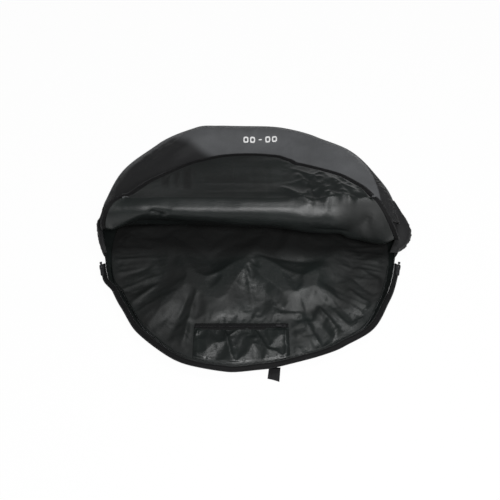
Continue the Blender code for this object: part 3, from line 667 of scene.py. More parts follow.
class BagColours(PropertyGroup):
    outer: colour("Outer cloth", "Charcoal of the outside", 0.098, 0.101, 0.106)
    # Wall: a darker copy of the outer cloth's colour, painted shade on the walls, the zip's end patches and the
    # cover's shaded parts.
    wall: colour("Wall cloth", "Near black of the walls and the zip's end patches", 0.0140, 0.0142, 0.0150)
    lining: colour("Lining", "Dark green-grey of the coated lining", 0.0105, 0.0132, 0.0127)
    tape: colour("Zip tape", "Black of the zip tapes and bindings", 0.0065, 0.0065, 0.0070)
    webbing: colour("Webbing", "Black of the webbing tab", 0.016, 0.016, 0.017)
    teeth: colour("Zip teeth", "Black of the moulded teeth", 0.012, 0.012, 0.013)
    metal: colour("Sliders", "Black paint of the sliders and pulls", 0.014, 0.014, 0.015)
    ink: colour("Print", "White ink of the plain print", 0.85, 0.85, 0.85)


class Step:
    """Runs one step of the bag, make(), as an operator."""

    def execute(self, context):
        self.make(context.scene.wheel_bag_sizes)
        return {"FINISHED"}


def polar(radius, angle, height):
    return np.stack([radius * np.cos(angle), radius * np.sin(angle), height], axis=-1)


# Soft ridges of the back lining: middle, direction, half length, half width, height
LINING_RIDGES = (
    (-0.150, -0.075, 115.0, 0.090, 0.030, 0.0070),
    (-0.045, -0.090, 65.0, 0.080, 0.032, 0.0075),
    (0.055, -0.085, 120.0, 0.085, 0.030, 0.0070),
    (0.160, -0.080, 55.0, 0.090, 0.032, 0.0075),
    (0.215, -0.185, 125.0, 0.070, 0.028, 0.0065),
    (-0.215, -0.180, 50.0, 0.070, 0.028, 0.0070),
    (-0.100, 0.110, 85.0, 0.090, 0.032, 0.0060),
    (0.010, 0.120, 100.0, 0.090, 0.032, 0.0060),
    (0.120, 0.100, 75.0, 0.090, 0.032, 0.0060),
)
# Sharp folds of the back lining, in metres: start x, y, end x, y, width, height
BACK_FOLDS = (
    (0.205, -0.170, 0.262, -0.240, 0.009, -0.0060),
    (0.165, -0.190, 0.225, -0.285, 0.008, 0.0075),
    (0.130, -0.175, 0.175, -0.300, 0.010, -0.0050),
    (0.235, -0.130, 0.300, -0.200, 0.010, 0.0075),
    (0.270, -0.070, 0.335, -0.125, 0.009, 0.0070),
    (0.255, -0.100, 0.320, -0.165, 0.008, -0.0050),
    (-0.180, -0.150, -0.245, -0.245, 0.008, 0.0075),
    (-0.150, -0.160, -0.190, -0.270, 0.008, -0.0055),
    (-0.130, -0.150, -0.160, -0.310, 0.008, 0.0070),
    (-0.230, -0.120, -0.300, -0.190, 0.008, 0.0065),
    (-0.250, -0.060, -0.335, -0.100, 0.008, -0.0045),
    (-0.020, -0.060, -0.150, -0.120, 0.008, 0.0060),
    (-0.020, -0.060, -0.080, -0.170, 0.008, 0.0055),
    (-0.010, -0.070, 0.010, -0.190, 0.008, 0.0050),
    (0.000, -0.060, 0.090, -0.160, 0.008, 0.0055),
    (0.020, -0.050, 0.160, -0.110, 0.009, 0.0060),
    (0.020, -0.030, 0.190, -0.050, 0.009, -0.0045),
)


def back_height(x, y, wrinkle):
    reach = np.hypot(x, y) / BASE_RADIUS
    broad = np.zeros_like(x)
    for middle_x, middle_y, way, half_length, half_width, rise in LINING_RIDGES:
        cos, sin = math.cos(math.radians(way)), math.sin(math.radians(way))
        along = (x - middle_x) * cos + (y - middle_y) * sin
        across = (y - middle_y) * cos - (x - middle_x) * sin
        broad = broad + rise * np.exp(-((along / half_length) ** 2) - (across / half_width) ** 2)
    rough = wrinkle * 0.35 * ripples(x, y, 0.09, 3, 2)
    height = broad + rough * smooth((1.0 - reach) / 0.06)
    return LINING_TOP + np.maximum(height * smooth((beside_pocket(x, y) - 0.008) / 0.030), -0.0030)


def beside_pocket(x, y):
    return np.maximum(np.maximum(POCKET_LOW.x - x, x - POCKET_HIGH.x), y - POCKET_TEETH_HIGH.y)


def back_creases(x, y, wrinkle):
    """The back lining's sharp folds and the gathers that run in from its seam."""
    reach = np.hypot(x, y) / BASE_RADIUS
    gathers = crumple(np.arctan2(y, x) * BASE_RADIUS, reach * 0.06, 0.046, 12, 2) - 0.35
    fine = crumple(x, y, 0.030, 90, 2) - 0.4
    height = crease(x, y, BACK_FOLDS) + wrinkle * (0.62 * gathers * smooth((reach - 0.55) / 0.35) + 0.16 * fine)
    return height * smooth((0.985 - reach) / 0.05) * smooth((beside_pocket(x, y) - 0.004) / 0.016)


class BagBack(Step, Operator):
    """Make the back panel, its crumpled lining and the binding of its seam"""
    bl_idname = "wheel_bag.back"
    bl_label = "Back panel"

    def make(self, sizes):
        self.panel()
        self.lining(sizes.wrinkle)
        self.binding()

    def panel(self):
        angle = np.linspace(0.0, math.tau, 160, endpoint=False)[:, None]
        share = np.linspace(0.0005, 1.0, 10)[None, :]
        radius = (BASE_RADIUS + 0.0006) * share * (1.0 + near_wave(angle) * share)
        lift = 0.0010 * smooth((share - 0.93) / 0.07) + 0 * angle
        points = polar(radius, angle + 0 * share, lift)[:, ::-1]
        made = sew("back_cloth", points, "outer", 0.0012, 1.0, closed=True)
        settle(made, "root", ["back_panel"])

    def lining(self, wrinkle):
        u, v = np.meshgrid(np.linspace(-1, 1, 96), np.linspace(-1, 1, 96), indexing="ij")
        x, y = u * np.sqrt(1.0 - v * v / 2.0), v * np.sqrt(1.0 - u * u / 2.0)
        wave = 1.0 + near_wave(np.arctan2(y, x) % math.tau) * np.hypot(x, y)
        x, y = x * (BASE_RADIUS - 0.001) * wave, y * (BASE_RADIUS - 0.001) * wave
        points = np.stack([x, y, back_height(x, y, wrinkle)], axis=-1)
        reach = np.hypot(x, y) / BASE_RADIUS
        pins = np.where((reach > 0.975) | (beside_pocket(x, y) < 0.010), 1.0, 0.0)
        points = finer(relax(points, pins, 0.012))
        x, y = points[..., 0], points[..., 1]
        points[..., 2] = np.clip(points[..., 2] + back_creases(x, y, wrinkle), LINING_TOP - 0.0030, 0.0225)
        # Painted shade and tone: near black under the roll, where its shadow falls, darker at the left and at the
        # lower right, and darker at random.
        quiet = 0.40 * smooth((-0.06 - x) / 0.08) + 0.50 * smooth((x - 0.16) / 0.08) * smooth((y + 0.22) / 0.08)
        quiet = quiet + np.clip(0.10 + 0.40 * ripples(x, y, 0.07, 71, 2), 0.0, 0.45)
        dim = np.maximum(0.95 * smooth((y + 0.070) / 0.070), quiet)
        made = sew("back_lining_cloth", points, "lining", CLOTH, dim=dim)
        settle(made, "root", ["back_lining", "back_padding"])

    def binding(self):
        """A cord along the foot of the wall."""
        low, high = size_of("back_seam_binding")
        radius = (high.z - low.z) / 2
        angle = np.linspace(0.0, math.tau, 241)[:-1]
        wall = band_points(0.0, math.tau, 241, 30)[:-1, 1]
        ring = np.hypot(wall[:, 0], wall[:, 1]) + radius
        line = polar(ring, angle, low.z + radius + 0 * angle)
        cord("seam_cord", line, radius, "tape", "root", ["back_seam_binding"], closed=True)


# Rows of small parts


def element(name, size):
    """A small rounded block, repeated along a line."""
    shape = bmesh.new()
    bmesh.ops.create_cube(shape, size=1.0)
    bmesh.ops.scale(shape, verts=shape.verts, vec=size)
    bmesh.ops.bevel(shape, geom=shape.edges[:], offset=min(size) * 0.28, segments=1, affect="EDGES", profile=0.7)
    mesh = bpy.data.meshes.new(name)
    shape.to_mesh(mesh)
    shape.free()
    mesh.shade_smooth()
    made = placed(name, mesh)
    made.hide_render = True
    return made


def row_group():
    """Geometry Nodes: one element at each step of a line, its Y along the line and its X outwards."""
    name = "row_of_parts"
    if name in bpy.data.node_groups:
        return bpy.data.node_groups[name]
    group = bpy.data.node_groups.new(name, "GeometryNodeTree")
    face = group.interface
    face.new_socket(name="Geometry", in_out="INPUT", socket_type="NodeSocketGeometry")
    for label, kind in (("Element", "Object"), ("Pitch", "Float"), ("Wobble", "Float"), ("Finish", "Material")):
        face.new_socket(name=label, in_out="INPUT", socket_type="NodeSocket" + kind)
    face.new_socket(name="Geometry", in_out="OUTPUT", socket_type="NodeSocketGeometry")

    def node(kind, **settings):
        made = group.nodes.new(kind)
        for setting, value in settings.items():
            setattr(made, setting, value)
        return made

    source, result = node("NodeGroupInput"), node("NodeGroupOutput")
    curve = node("GeometryNodeMeshToCurve")
    resample = node("GeometryNodeResampleCurve", mode="LENGTH")
    tangent = node("GeometryNodeInputTangent")
    out = node("GeometryNodeInputNamedAttribute", data_type="FLOAT_VECTOR")
    out.inputs["Name"].default_value = "out"
    along = node("FunctionNodeAlignRotationToVector", axis="Y")
    across = node("FunctionNodeAlignRotationToVector", axis="X", pivot_axis="Y")
    info = node("GeometryNodeObjectInfo")
    instance = node("GeometryNodeInstanceOnPoints")
    wobble = node("FunctionNodeRandomValue", data_type="FLOAT_VECTOR")
    wobble.inputs["Seed"].default_value = 7
    least = node("ShaderNodeMath", operation="MULTIPLY")
    least.inputs[1].default_value = -1.0
    turn = node("GeometryNodeRotateInstances")
    realize = node("GeometryNodeRealizeInstances")
    paint = node("GeometryNodeSetMaterial")
    for start, output, end, socket in (
            (source, "Geometry", curve, "Mesh"), (curve, "Curve", resample, "Curve"),
            (source, "Pitch", resample, "Length"), (tangent, "Tangent", along, "Vector"),
            (along, "Rotation", across, "Rotation"), (out, "Attribute", across, "Vector"),
            (source, "Element", info, "Object"), (resample, "Curve", instance, "Points"),
            (info, "Geometry", instance, "Instance"), (across, "Rotation", instance, "Rotation"),
            (source, "Wobble", least, 0), (least, "Value", wobble, "Min"), (source, "Wobble", wobble, "Max"),
            (instance, "Instances", turn, "Instances"), (wobble, "Value", turn, "Rotation"),
            (turn, "Instances", realize, "Geometry"), (realize, "Geometry", paint, "Geometry"),
            (source, "Finish", paint, "Material"), (paint, "Geometry", result, "Geometry")):
        group.links.new(start.outputs[output], end.inputs[socket])
    return group


def row_object(name, points, outward, size, pitch, kind, wobble=0.0):
    """Small parts in a row along the points, made with Geometry Nodes and kept as a mesh."""
    mesh = bpy.data.meshes.new(name)
    mesh.from_pydata([tuple(p) for p in points], [(i, i + 1) for i in range(len(points) - 1)], [])
    out = mesh.attributes.new("out", "FLOAT_VECTOR", "POINT")
    out.data.foreach_set("vector", np.asarray(outward, dtype=np.float32).ravel())
    made = placed(name, mesh)
    part = element(name + "_part", size)
    modifier = made.modifiers.new("row", "NODES")
    modifier.node_group = row_group()
    values = {"Element": part, "Pitch": pitch, "Wobble": wobble, "Finish": finish_of(kind)}
    for socket in modifier.node_group.interface.items_tree:
        if socket.in_out == "INPUT" and socket.name in values:
            modifier[socket.identifier] = values[socket.name]
    plain(made)
    bpy.data.objects.remove(part, do_unlink=True)
    made.data.name = name
    return made


# Side bands and near rim


def rim_share(angle):
    """How far the rim has risen from the near lip to the fold's ends, 0 to 1."""
    return smooth((np.arcsin(np.sin(angle)) - LIP_ANGLE) / (FOLD_ANGLE - LIP_ANGLE))


def band_points(first, last, steps, rows, inset=0.0):
    """The band from its lower seam to its upper edge, outside face; columns run left to right as seen outside."""
    angle = np.linspace(first, last, steps)[:, None]
    share = np.linspace(0.0, 1.0, rows)[None, :]
    to_fold = rim_share(angle)
    lip = LIP_RADIUS * (1.0 + near_wave(angle))
    rim = lip + (shoulder_radius(angle) + RIM_SPREAD - lip) * to_fold
    base = BASE_RADIUS * (1.0 + near_wave(angle))
    height = np.where(np.sin(angle) < math.sin(LIP_ANGLE), LIP_HEIGHT, rim_height(angle))
    radius = base + (rim - base) * (1.0 - (1.0 - share) ** 2)
    radius = radius - to_fold * 0.006 * smooth((share - 0.62) / 0.38)
    swell = ripples(angle * 3.1, share * 0.6 + 0 * angle, 0.35, 21, 2)
    radius = radius + 0.0035 * to_fold * swell * np.sin(math.pi * share)
    pucker = 0.0012 * np.sin(angle * 95.0 + 2.0 * np.sin(angle * 7.0)) * np.sin(math.pi * share) * (1.0 - share)
    return polar(radius + pucker - inset, angle + 0.0 * share, SEAM_Z + (height - SEAM_Z) * share)


def side_band(side, first, last, steps, rows, thickness, inset, lining):
    """Outer cloth and lining of the near or the far band."""
    # The wall finish paints the band's shade into its colour.
    outside = sew(side + "_band_cloth", band_points(first, last, steps, rows), "wall", thickness)
    settle(outside, "root", [side + "_gusset"])
    inside = sew(side + "_band_lining", band_points(first, last, steps, rows, inset)[::-1], "lining", lining, 1.0)
    settle(inside, "root", [side + "_gusset_lining"])


class BagNearRim(Step, Operator):
    """Make the shallow band of the near half with its lining, zip tape, teeth and stitches"""
    bl_idname = "wheel_bag.near_rim"
    bl_label = "Near rim"

    def make(self, sizes):
        first, last = math.pi - LIP_ANGLE, math.tau + LIP_ANGLE
        side_band("near", first, last, 220, 12, 0.0010, 0.0016, 0.0006)
        self.zip(first + 0.002, last - 0.002, sizes)

    def zip(self, first, last, sizes):
        angle = np.linspace(first, last, 260)
        wave = 1.0 + near_wave(angle)
        edge = LIP_RADIUS * wave + TRIM_GAP
        droop = 0.0012 * np.sin(angle * 9.0) + 0.0008 * np.sin(angle * 23.0 + 1.0)
        tape = [polar(edge + out, angle, LIP_HEIGHT + droop * out / TAPE_WIDTH - 0.0016 * (out / TAPE_WIDTH) ** 2)
                for out in np.linspace(0.0, TAPE_WIDTH + TOOTH_HOLD, 6)]
        made = sew("rim_tape", np.stack(tape, axis=1)[::-1], "tape", TAPE_THICKNESS, 0.0)
        settle(made, "root", ["base_zip_tape"])
        out = polar(np.ones_like(angle), angle, 0 * angle)
        line = polar(edge + TAPE_WIDTH + TOOTH_REACH / 2, angle, LIP_HEIGHT + droop - 0.0016)
        teeth = row_object("rim_teeth", line, out, TOOTH_SIZE, sizes.tooth_pitch, "plastic")
        settle(teeth, "root", ["base_zip_teeth"])
        line = polar(edge + 0.0022, angle, LIP_HEIGHT + 0.0008 + 0 * angle)
        stitches = row_object("rim_stitches", line, out, (0.0005, 0.0028, 0.0004), sizes.stitch, "tape", 0.03)
        settle(stitches, "root")
        line = polar((BASE_RADIUS - 0.0034) * wave, angle, LINING_TOP + 0.0052 + 0 * angle)
        cord("lining_seam", line, 0.0011, "lining", "root")


# The zip's end patches: side, bulge, bend over the wall's top, flat width, seed of the crinkles
EARS = (("left", 0.001, 0.008, 0.060, 57), ("right", 0.018, 0.018, 0.085, 51))
EAR_FIRST, EAR_SPAN = math.radians(-5.8), math.radians(21.8)
# The part of the cover with painted shade: its edge as a line across, and the width of the dark strip of painted
# shade at the right wall
SHADE_LINE = (-0.538, -0.843, 0.175)
WALL_STRIP = 0.037


class BagCover(Step, Operator):
    """Make the far half: band, cover, its piping and the patches at the zip's ends"""
    bl_idname = "wheel_bag.cover"
    bl_label = "Cover"

    def make(self, sizes):
        first, last = LIP_ANGLE, math.pi - LIP_ANGLE
        side_band("far", first, last, 260, 26, 0.0012, 0.0020, 0.0008)
        first = FOLD_ANGLE + 0.012
        self.cover(first)
        angle = np.linspace(first, math.pi - first, 240)
        line = polar(shoulder_radius(angle) - 0.0006, angle, rim_height(angle) + 0.0008)
        cord("cover_cord", line, 0.0016, "outer", "root", ["cover_piping"])
        self.ears()

    def cover(self, first):
        angle = np.linspace(math.pi - first, first, 210)[:, None]
        v = np.linspace(0.0, 1.0, 90)[None, :] ** 0.85
        radius = shoulder_radius(angle)
        x = radius * np.cos(angle) + 0 * v
        start = FOLD_Y + 0.0006
        y = start + (radius * np.sin(angle) - start) * v
        at = np.arctan2(y, x)
        edge = shoulder_radius(at) - np.hypot(x, y)
        close = 1.0 - np.clip(edge / 0.024, 0.0, 1.0)
        height = cover_plane(x, y) - RIM_ROUND * close ** 2
        free = smooth(edge / 0.03) * smooth((y - start) / 0.04)
        height = height + 0.0030 * ripples(x, y, 0.13, 31) * free
        height = height + 0.0016 * crumple(x, y, 0.07, 35, 2) * free
        # Painted shade: darker towards the wall colour on the left flank past the shade line, lighter again along its
        # far left edge, and on the strip at the right wall; a small random part is tone that varies at random. The
        # cover's underside takes the same values.
        fall = SHADE_LINE[0] * x + SHADE_LINE[1] * y + SHADE_LINE[2]
        far_edge = smooth((0.024 - edge) / 0.012) * smooth((math.radians(150.0) - at) / 0.12)
        wall = smooth((WALL_STRIP * smooth((math.radians(43.0) - at) / 0.52) - edge) / 0.003)
        dim = np.maximum(smooth(fall / 0.040) * (1.0 - 0.55 * far_edge), wall)
        dim = np.maximum(dim, np.clip(0.09 + 0.14 * ripples(x, y, 0.16, 44, 2), 0.0, 0.30))
        height = height + 0.0035 * crumple(x, y, 0.022, 38, 2) * wall * smooth(edge / 0.006)
        pucker = 0.0010 * np.sin(at * 60.0 + 3.0 * np.sin(at * 11.0)) * np.exp(-((edge - 0.014) / 0.010) ** 2)
        points = np.stack([x, y, height + pucker], axis=-1)
        made = pad("cover_pad", points, grid_normals(points), "outer", "lining", dim, 1.0)
        settle(made, "root", ["cover_outer", "cover_padding", "cover_lining"])

    def ears(self):
        u = np.linspace(0.0, 1.0, 46)[:, None]
        v = np.linspace(0.0, 1.0, 46)[None, :]
        beyond = EAR_FIRST + EAR_SPAN * u
        share = 0.22 + 0.78 * np.minimum(v / 0.8, 1.0) + 0 * u
        over = np.clip((v - 0.8) / 0.2, 0.0, 1.0)
        full = np.clip((u - 0.12) / 0.88, 0.0, 1.0)
        sewn = smooth((1.0 - u) / 0.45)
        for side, bulge, inward, wide, seed in EARS:
            right = side == "right"
            angle = (beyond if right else math.pi - beyond) + 0 * v
            rim = LIP_RADIUS + (shoulder_radius(angle) + RIM_SPREAD - LIP_RADIUS) * rim_share(beyond)
            radius = BASE_RADIUS + (rim - BASE_RADIUS) * (1.0 - (1.0 - share) ** 2)
            height = SEAM_Z + (rim_height(angle) - SEAM_Z) * share + 0.0024 * np.sin(math.pi * over)
            puff = bulge * np.sin(math.pi * full ** 0.55) ** 0.7 * np.sin(math.pi * v ** 0.9) ** 0.8
            rough = 0.0065 * crumple(u * 0.15, v * 0.08, 0.020, seed, 2)
            lift = -0.0016 + 0.0030 * sewn + puff + rough * sewn * np.sin(math.pi * u ** 0.7) * np.sin(math.pi * v)
            points = polar(radius + lift - inward * over, angle, height)
            # The wall finish paints the patch's shade into its colour.
            made = sew(f"ear_{side}_cloth", points if right else points[::-1], "wall", 0.0010, 1.0)
            settle(made, "root", ["zip_ear_" + side])


# Fold and flap

# Folds of the roll and flap, in metres: across and along the cloth from the cover's fold line
ROLL_FOLDS = (
    (0.085, 0.190, 0.150, 0.125, 0.008, 0.0075),
    (0.138, 0.215, 0.170, 0.140, 0.008, -0.0075),
    (0.190, 0.165, 0.250, 0.135, 0.009, 0.0085),
    (0.205, 0.225, 0.255, 0.170, 0.009, 0.0070),
    (0.120, 0.255, 0.150, 0.190, 0.009, 0.0070),
    (0.290, 0.105, 0.235, 0.060, 0.014, -0.0080),
    (0.235, 0.060, 0.150, 0.062, 0.008, -0.0060),
    (0.235, 0.030, 0.285, 0.075, 0.010, 0.0075),
    (-0.240, 0.100, -0.205, 0.080, 0.010, -0.0055),
    (-0.345, 0.050, -0.250, 0.090, 0.012, 0.0050),
    (-0.212, 0.210, -0.206, 0.285, 0.006, -0.0045),
    (-0.188, 0.205, -0.184, 0.290, 0.005, -0.0040),
    (-0.164, 0.200, -0.162, 0.295, 0.006, -0.0045),
    (-0.120, 0.170, 0.110, 0.172, 0.006, 0.0012),
    (-0.120, 0.215, 0.110, 0.217, 0.006, -0.0012),
    (-0.040, 0.155, -0.042, 0.300, 0.004, 0.0016),
    (0.045, 0.155, 0.043, 0.300, 0.004, -0.0016),
)

# Bands of painted shade on the flap's lining, where folds shade it: middle across, half width, first and last place
# along, strength
FLAP_BANDS = (
    (-0.214, 0.014, 0.075, 0.160, 0.45), (-0.186, 0.011, 0.070, 0.180, 0.40), (-0.160, 0.015, 0.060, 0.195, 0.50),
    (-0.060, 0.060, 0.095, 0.150, 0.25), (0.030, 0.030, 0.060, 0.200, 0.15), (0.090, 0.016, 0.100, 0.170, 0.25),
)


def roll_height(x, along, wrinkle):
    """Soft unevenness of the roll's and flap's lining, measured out from the cloth."""
    broad = 0.35 * ripples(x * 0.8, along * 1.6, 0.11, 61, 2)
    amount = 0.4 + 1.8 * smooth((along - FOLD_ARC + 0.02) / 0.05)
    right = smooth((x - 0.06) / 0.10) * amount * crumple(x + 0.2, along, 0.085, 66, 2)
    return wrinkle * (broad + right) + crease(x, along, ROLL_FOLDS)


# Half width of the roll's left and right side, by share from the cover up to the flap
LEFT_HALF = ((0.0, 0.352), (0.35, 0.354), (0.60, 0.349), (0.82, 0.336), (0.93, 0.324), (1.0, 0.312))
RIGHT_HALF = ((0.0, 0.352), (0.22, 0.358), (0.45, 0.350), (0.70, 0.330), (0.88, 0.310), (1.0, 0.296))
FLAP_LEFT_X, FLAP_RIGHT_X = LEFT_HALF[-1][1], RIGHT_HALF[-1][1]
FLAP_RIGHT_ANGLE = math.acos(FLAP_RIGHT_X / FLAP_RADIUS)
FLAP_LEFT_ANGLE = math.pi - math.acos(FLAP_LEFT_X / FLAP_RADIUS)
ROLL_ROWS, FLAP_ROWS = 24, 32


def roll_points(side, v, depth, wrinkle):
    """A point of the roll; side -1 to 1 across, v 0 to 1 from the cover up to the flap."""
    at = np.clip(v, 0.0001, 0.9999)
    x = np.where(side < 0.0, side * curved(LEFT_HALF, at), side * curved(RIGHT_HALF, at))
    sag = eased(ROLL_SAG, np.clip(x, -0.3599, 0.3599)) * smooth(v / 0.3) * (1.0 - smooth((v - 0.3) / 0.7))
    rough = roll_height(x, v * FOLD_ARC, wrinkle) * smooth(v / 0.10) * smooth((1.0 - np.abs(side)) / 0.05)
    turn = roll_turn(v)
    radius = FOLD_RADIUS - depth + rough
    narrow = 1.0 - 0.12 * np.abs(side) ** 4 * np.sin(math.pi * v)
    return np.stack([x + 0 * v, FOLD_Y + radius * np.cos(turn) * narrow - 0.60 * sag,
                     FOLD_Z + radius * np.sin(turn) - 0.70 * sag], axis=-1)


def roll_turn(v):
    return 1.5 * math.pi - math.pi * v


def flap_end(x):
    return np.maximum(flap_edge(x), FOLD_Y + 0.004)


def upper_cloth(wrinkle):
    """The lining from the cover's fold line round the roll to the flap's free edge, as one settled grid."""
    angle = np.linspace(FLAP_LEFT_ANGLE, FLAP_RIGHT_ANGLE, 104)[:, None]
    edge_x = FLAP_RADIUS * np.cos(angle)
    side = np.where(edge_x < 0.0, edge_x / FLAP_LEFT_X, edge_x / FLAP_RIGHT_X)
    roll = roll_points(side, np.linspace(0.0, 1.0, ROLL_ROWS + 1)[None, :], 0.0, wrinkle)
    v = np.linspace(0.0, 1.0, FLAP_ROWS + 1)[None, 1:]
    x = edge_x + 0 * v
    y = FOLD_Y + (flap_end(x) - FOLD_Y) * v
    free = smooth((flap_end(x) - y) / 0.012) * smooth((1.0 - np.abs(side)) / 0.05)
    rough = roll_height(x, FOLD_ARC + (y - FOLD_Y) * 1.03, wrinkle) * free
    flap = np.stack([x, y, flap_height(y) + rough * 0.85], axis=-1)
    points = np.concatenate([roll, flap], axis=1)
    pins = np.zeros(points.shape[:2])
    pins[:2], pins[-2:], pins[:, :2], pins[:, -2:] = 1.0, 1.0, 1.0, 1.0
    row = np.arange(points.shape[1])[None, :]
    across = points[..., 0]
    on_flap = smooth((row - ROLL_ROWS * 0.7) / (ROLL_ROWS * 0.5))
    room = 0.15 + 0.30 * on_flap + 0.55 * smooth((across - 0.03) / 0.12)
    return finer(relax(points, pins, 0.046, np.clip(room, 0.0, 1.0), bend=9.0))


class BagRoll(Step, Operator):
    """Make the roll between the cover and the flap, in two halves, and the flap's pad"""
    bl_idname = "wheel_bag.roll"
    bl_label = "Roll and flap"

    def make(self, sizes):
        points = upper_cloth(sizes.wrinkle)
        up = grid_normals(points)
        low = Vector((0.0, FOLD_Y, FOLD_LOW.z))
        nose = Vector((0.0, FOLD_Y - FOLD_RADIUS, FOLD_Z))
        high = Vector((0.0, FOLD_Y, FLAP_HIGH.z))
        self.half("low", 0, ("root", "fold", low, low.lerp(nose, 0.82)), points, up, sizes)
        self.half("high", ROLL_ROWS, ("fold", "flap", nose.lerp(high, 0.41), high), points, up, sizes)
        rows = slice(2 * ROLL_ROWS, None)
        x, y = points[:, rows, 0], points[:, rows, 1]
        # Painted shade on the flap's lining: darker towards the left, and in the listed bands.
        painted_shade = 0.30 * smooth((0.06 - x) / 0.10)
        for middle, half, first, last, amount in FLAP_BANDS:
            long = smooth((y - first) / 0.030) * smooth((last - y) / 0.030)
            painted_shade = painted_shade + amount * long * smooth((half - np.abs(x - middle + 0.06 * (y - 0.15))) / 0.010)
        made = pad("flap_pad", points[:, rows], up[:, rows], "lining", "outer", np.clip(painted_shade, 0.0, 1.0))
        settle(made, "flap", ["flap_lining", "flap_padding", "flap_outer"])

    def half(self, half, first, bend, points, up, sizes):
        """The padded cloth of one half of the roll, and the zip tape and teeth down its two ends."""
        last = first + ROLL_ROWS
        rows = slice(first, last + 1)
        share = np.linspace(first, last, ROLL_ROWS + 1)[None, :] / (2 * ROLL_ROWS)
        x = points[:, rows, 0]
        # Painted shade: the roll's lower part darkened where shadow falls under it, and its right end darkened to
        # tone down its highlight.
        under = 0.75 * smooth((0.42 - share) / 0.22) * smooth((x + 0.20) / 0.25)
        at_end = 0.50 * smooth((x - 0.19) / 0.05) * smooth((share - 0.35) / 0.15) * smooth((1.0 - share) / 0.15)
        dim = np.maximum(under, at_end)
        made = pad("roll_pad_" + half, points[:, rows], up[:, rows], "lining", "outer", dim)
        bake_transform(made)
        if half == "low":
            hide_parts("fold_outer", "fold_padding", "fold_lining")
        for side, sign in (("left", -1.0), ("right", 1.0)):
            v = np.linspace(first / (2 * ROLL_ROWS), last / (2 * ROLL_ROWS) + (0.035 if half == "high" else 0.0), 30)
            edge = roll_points(np.array(sign), v, PANEL / 2, sizes.wrinkle)
            turn = roll_turn(v)
            radial = np.stack([0 * turn, np.cos(turn), np.sin(turn)], axis=-1)
            outward = np.cross(np.gradient(edge, axis=0), radial)
            outward = outward / np.linalg.norm(outward, axis=1, keepdims=True) * sign
            outward = outward * np.sign(outward[:, :1] * sign)
            reaches = np.linspace(TRIM_GAP, TAPE_WIDTH + TOOTH_HOLD, 5)
            tape = np.stack([edge + outward * reach for reach in reaches], axis=1)
            made = sew(f"roll_tape_{side}_{half}", tape if sign > 0 else tape[:, ::-1], "tape", TAPE_THICKNESS, 0.0)
            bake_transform(made)
            if half == "low":
                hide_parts("fold_zip_tape_" + side)
            line = edge + outward * (TAPE_WIDTH + TOOTH_REACH / 2)
            teeth = row_object(f"roll_teeth_{side}_{half}", line, outward, TOOTH_SIZE, sizes.tooth_pitch, "plastic")
            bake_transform(teeth)


class BagFlap(Step, Operator):
    """Make the trim of the flap's free edge: piping, zip tape and teeth"""
    bl_idname = "wheel_bag.flap"
    bl_label = "Flap trim"

    def make(self, sizes):
        cord_at = TRIM_GAP + CORD_RADIUS
        cord("flap_cord", self.line(cord_at)[0], CORD_RADIUS, "tape", "flap", ["flap_piping"])
        start = cord_at + CORD_RADIUS + TRIM_GAP
        rows = [self.line(start + reach)[0] for reach in np.linspace(0.0, TAPE_WIDTH + TOOTH_HOLD, 6)]
        tape = sew("flap_tape", np.stack(rows, axis=1)[::-1], "tape", TAPE_THICKNESS, 0.0)
        settle(tape, "flap", ["flap_zip_tape"])
        points, out = self.line(start + TAPE_WIDTH + TOOTH_REACH / 2)
        teeth = row_object("flap_teeth", points, out, TOOTH_SIZE, sizes.tooth_pitch, "plastic")
        settle(teeth, "flap", ["flap_zip_teeth"])

    def line(self, reach):
        """A line beside the flap's free edge, and its direction outwards."""
        angle = np.linspace(FLAP_RIGHT_ANGLE, FLAP_LEFT_ANGLE, 260)
        x = FLAP_RADIUS * np.cos(angle)
        edge = np.stack([x, flap_end(x)], axis=-1)
        way = np.gradient(edge, axis=0)
        out = np.stack([way[:, 1], -way[:, 0]], axis=-1)
        out = out / np.linalg.norm(out, axis=1, keepdims=True)
        for _ in range(6):
            out[1:-1] = (out[:-2] + 2.0 * out[1:-1] + out[2:]) / 4.0
        place = edge + out * reach
        outward = np.stack([out[:, 0], out[:, 1], -FLAP_SLOPE * out[:, 1]], axis=-1)
        return np.stack([place[:, 0], place[:, 1], flap_height(place[:, 1]) - PANEL / 2], axis=-1), outward


# Folds of the pocket's cloth, in metres: start x, y, end x, y, width, height
POCKET_FOLDS = (
    (0.085, -0.245, 0.087, -0.325, 0.006, 0.0045),
    (-0.118, -0.245, -0.145, -0.300, 0.006, 0.0050),
    (-0.060, -0.250, -0.040, -0.335, 0.006, 0.0035),
    (0.010, -0.250, 0.050, -0.330, 0.006, 0.0030),
)


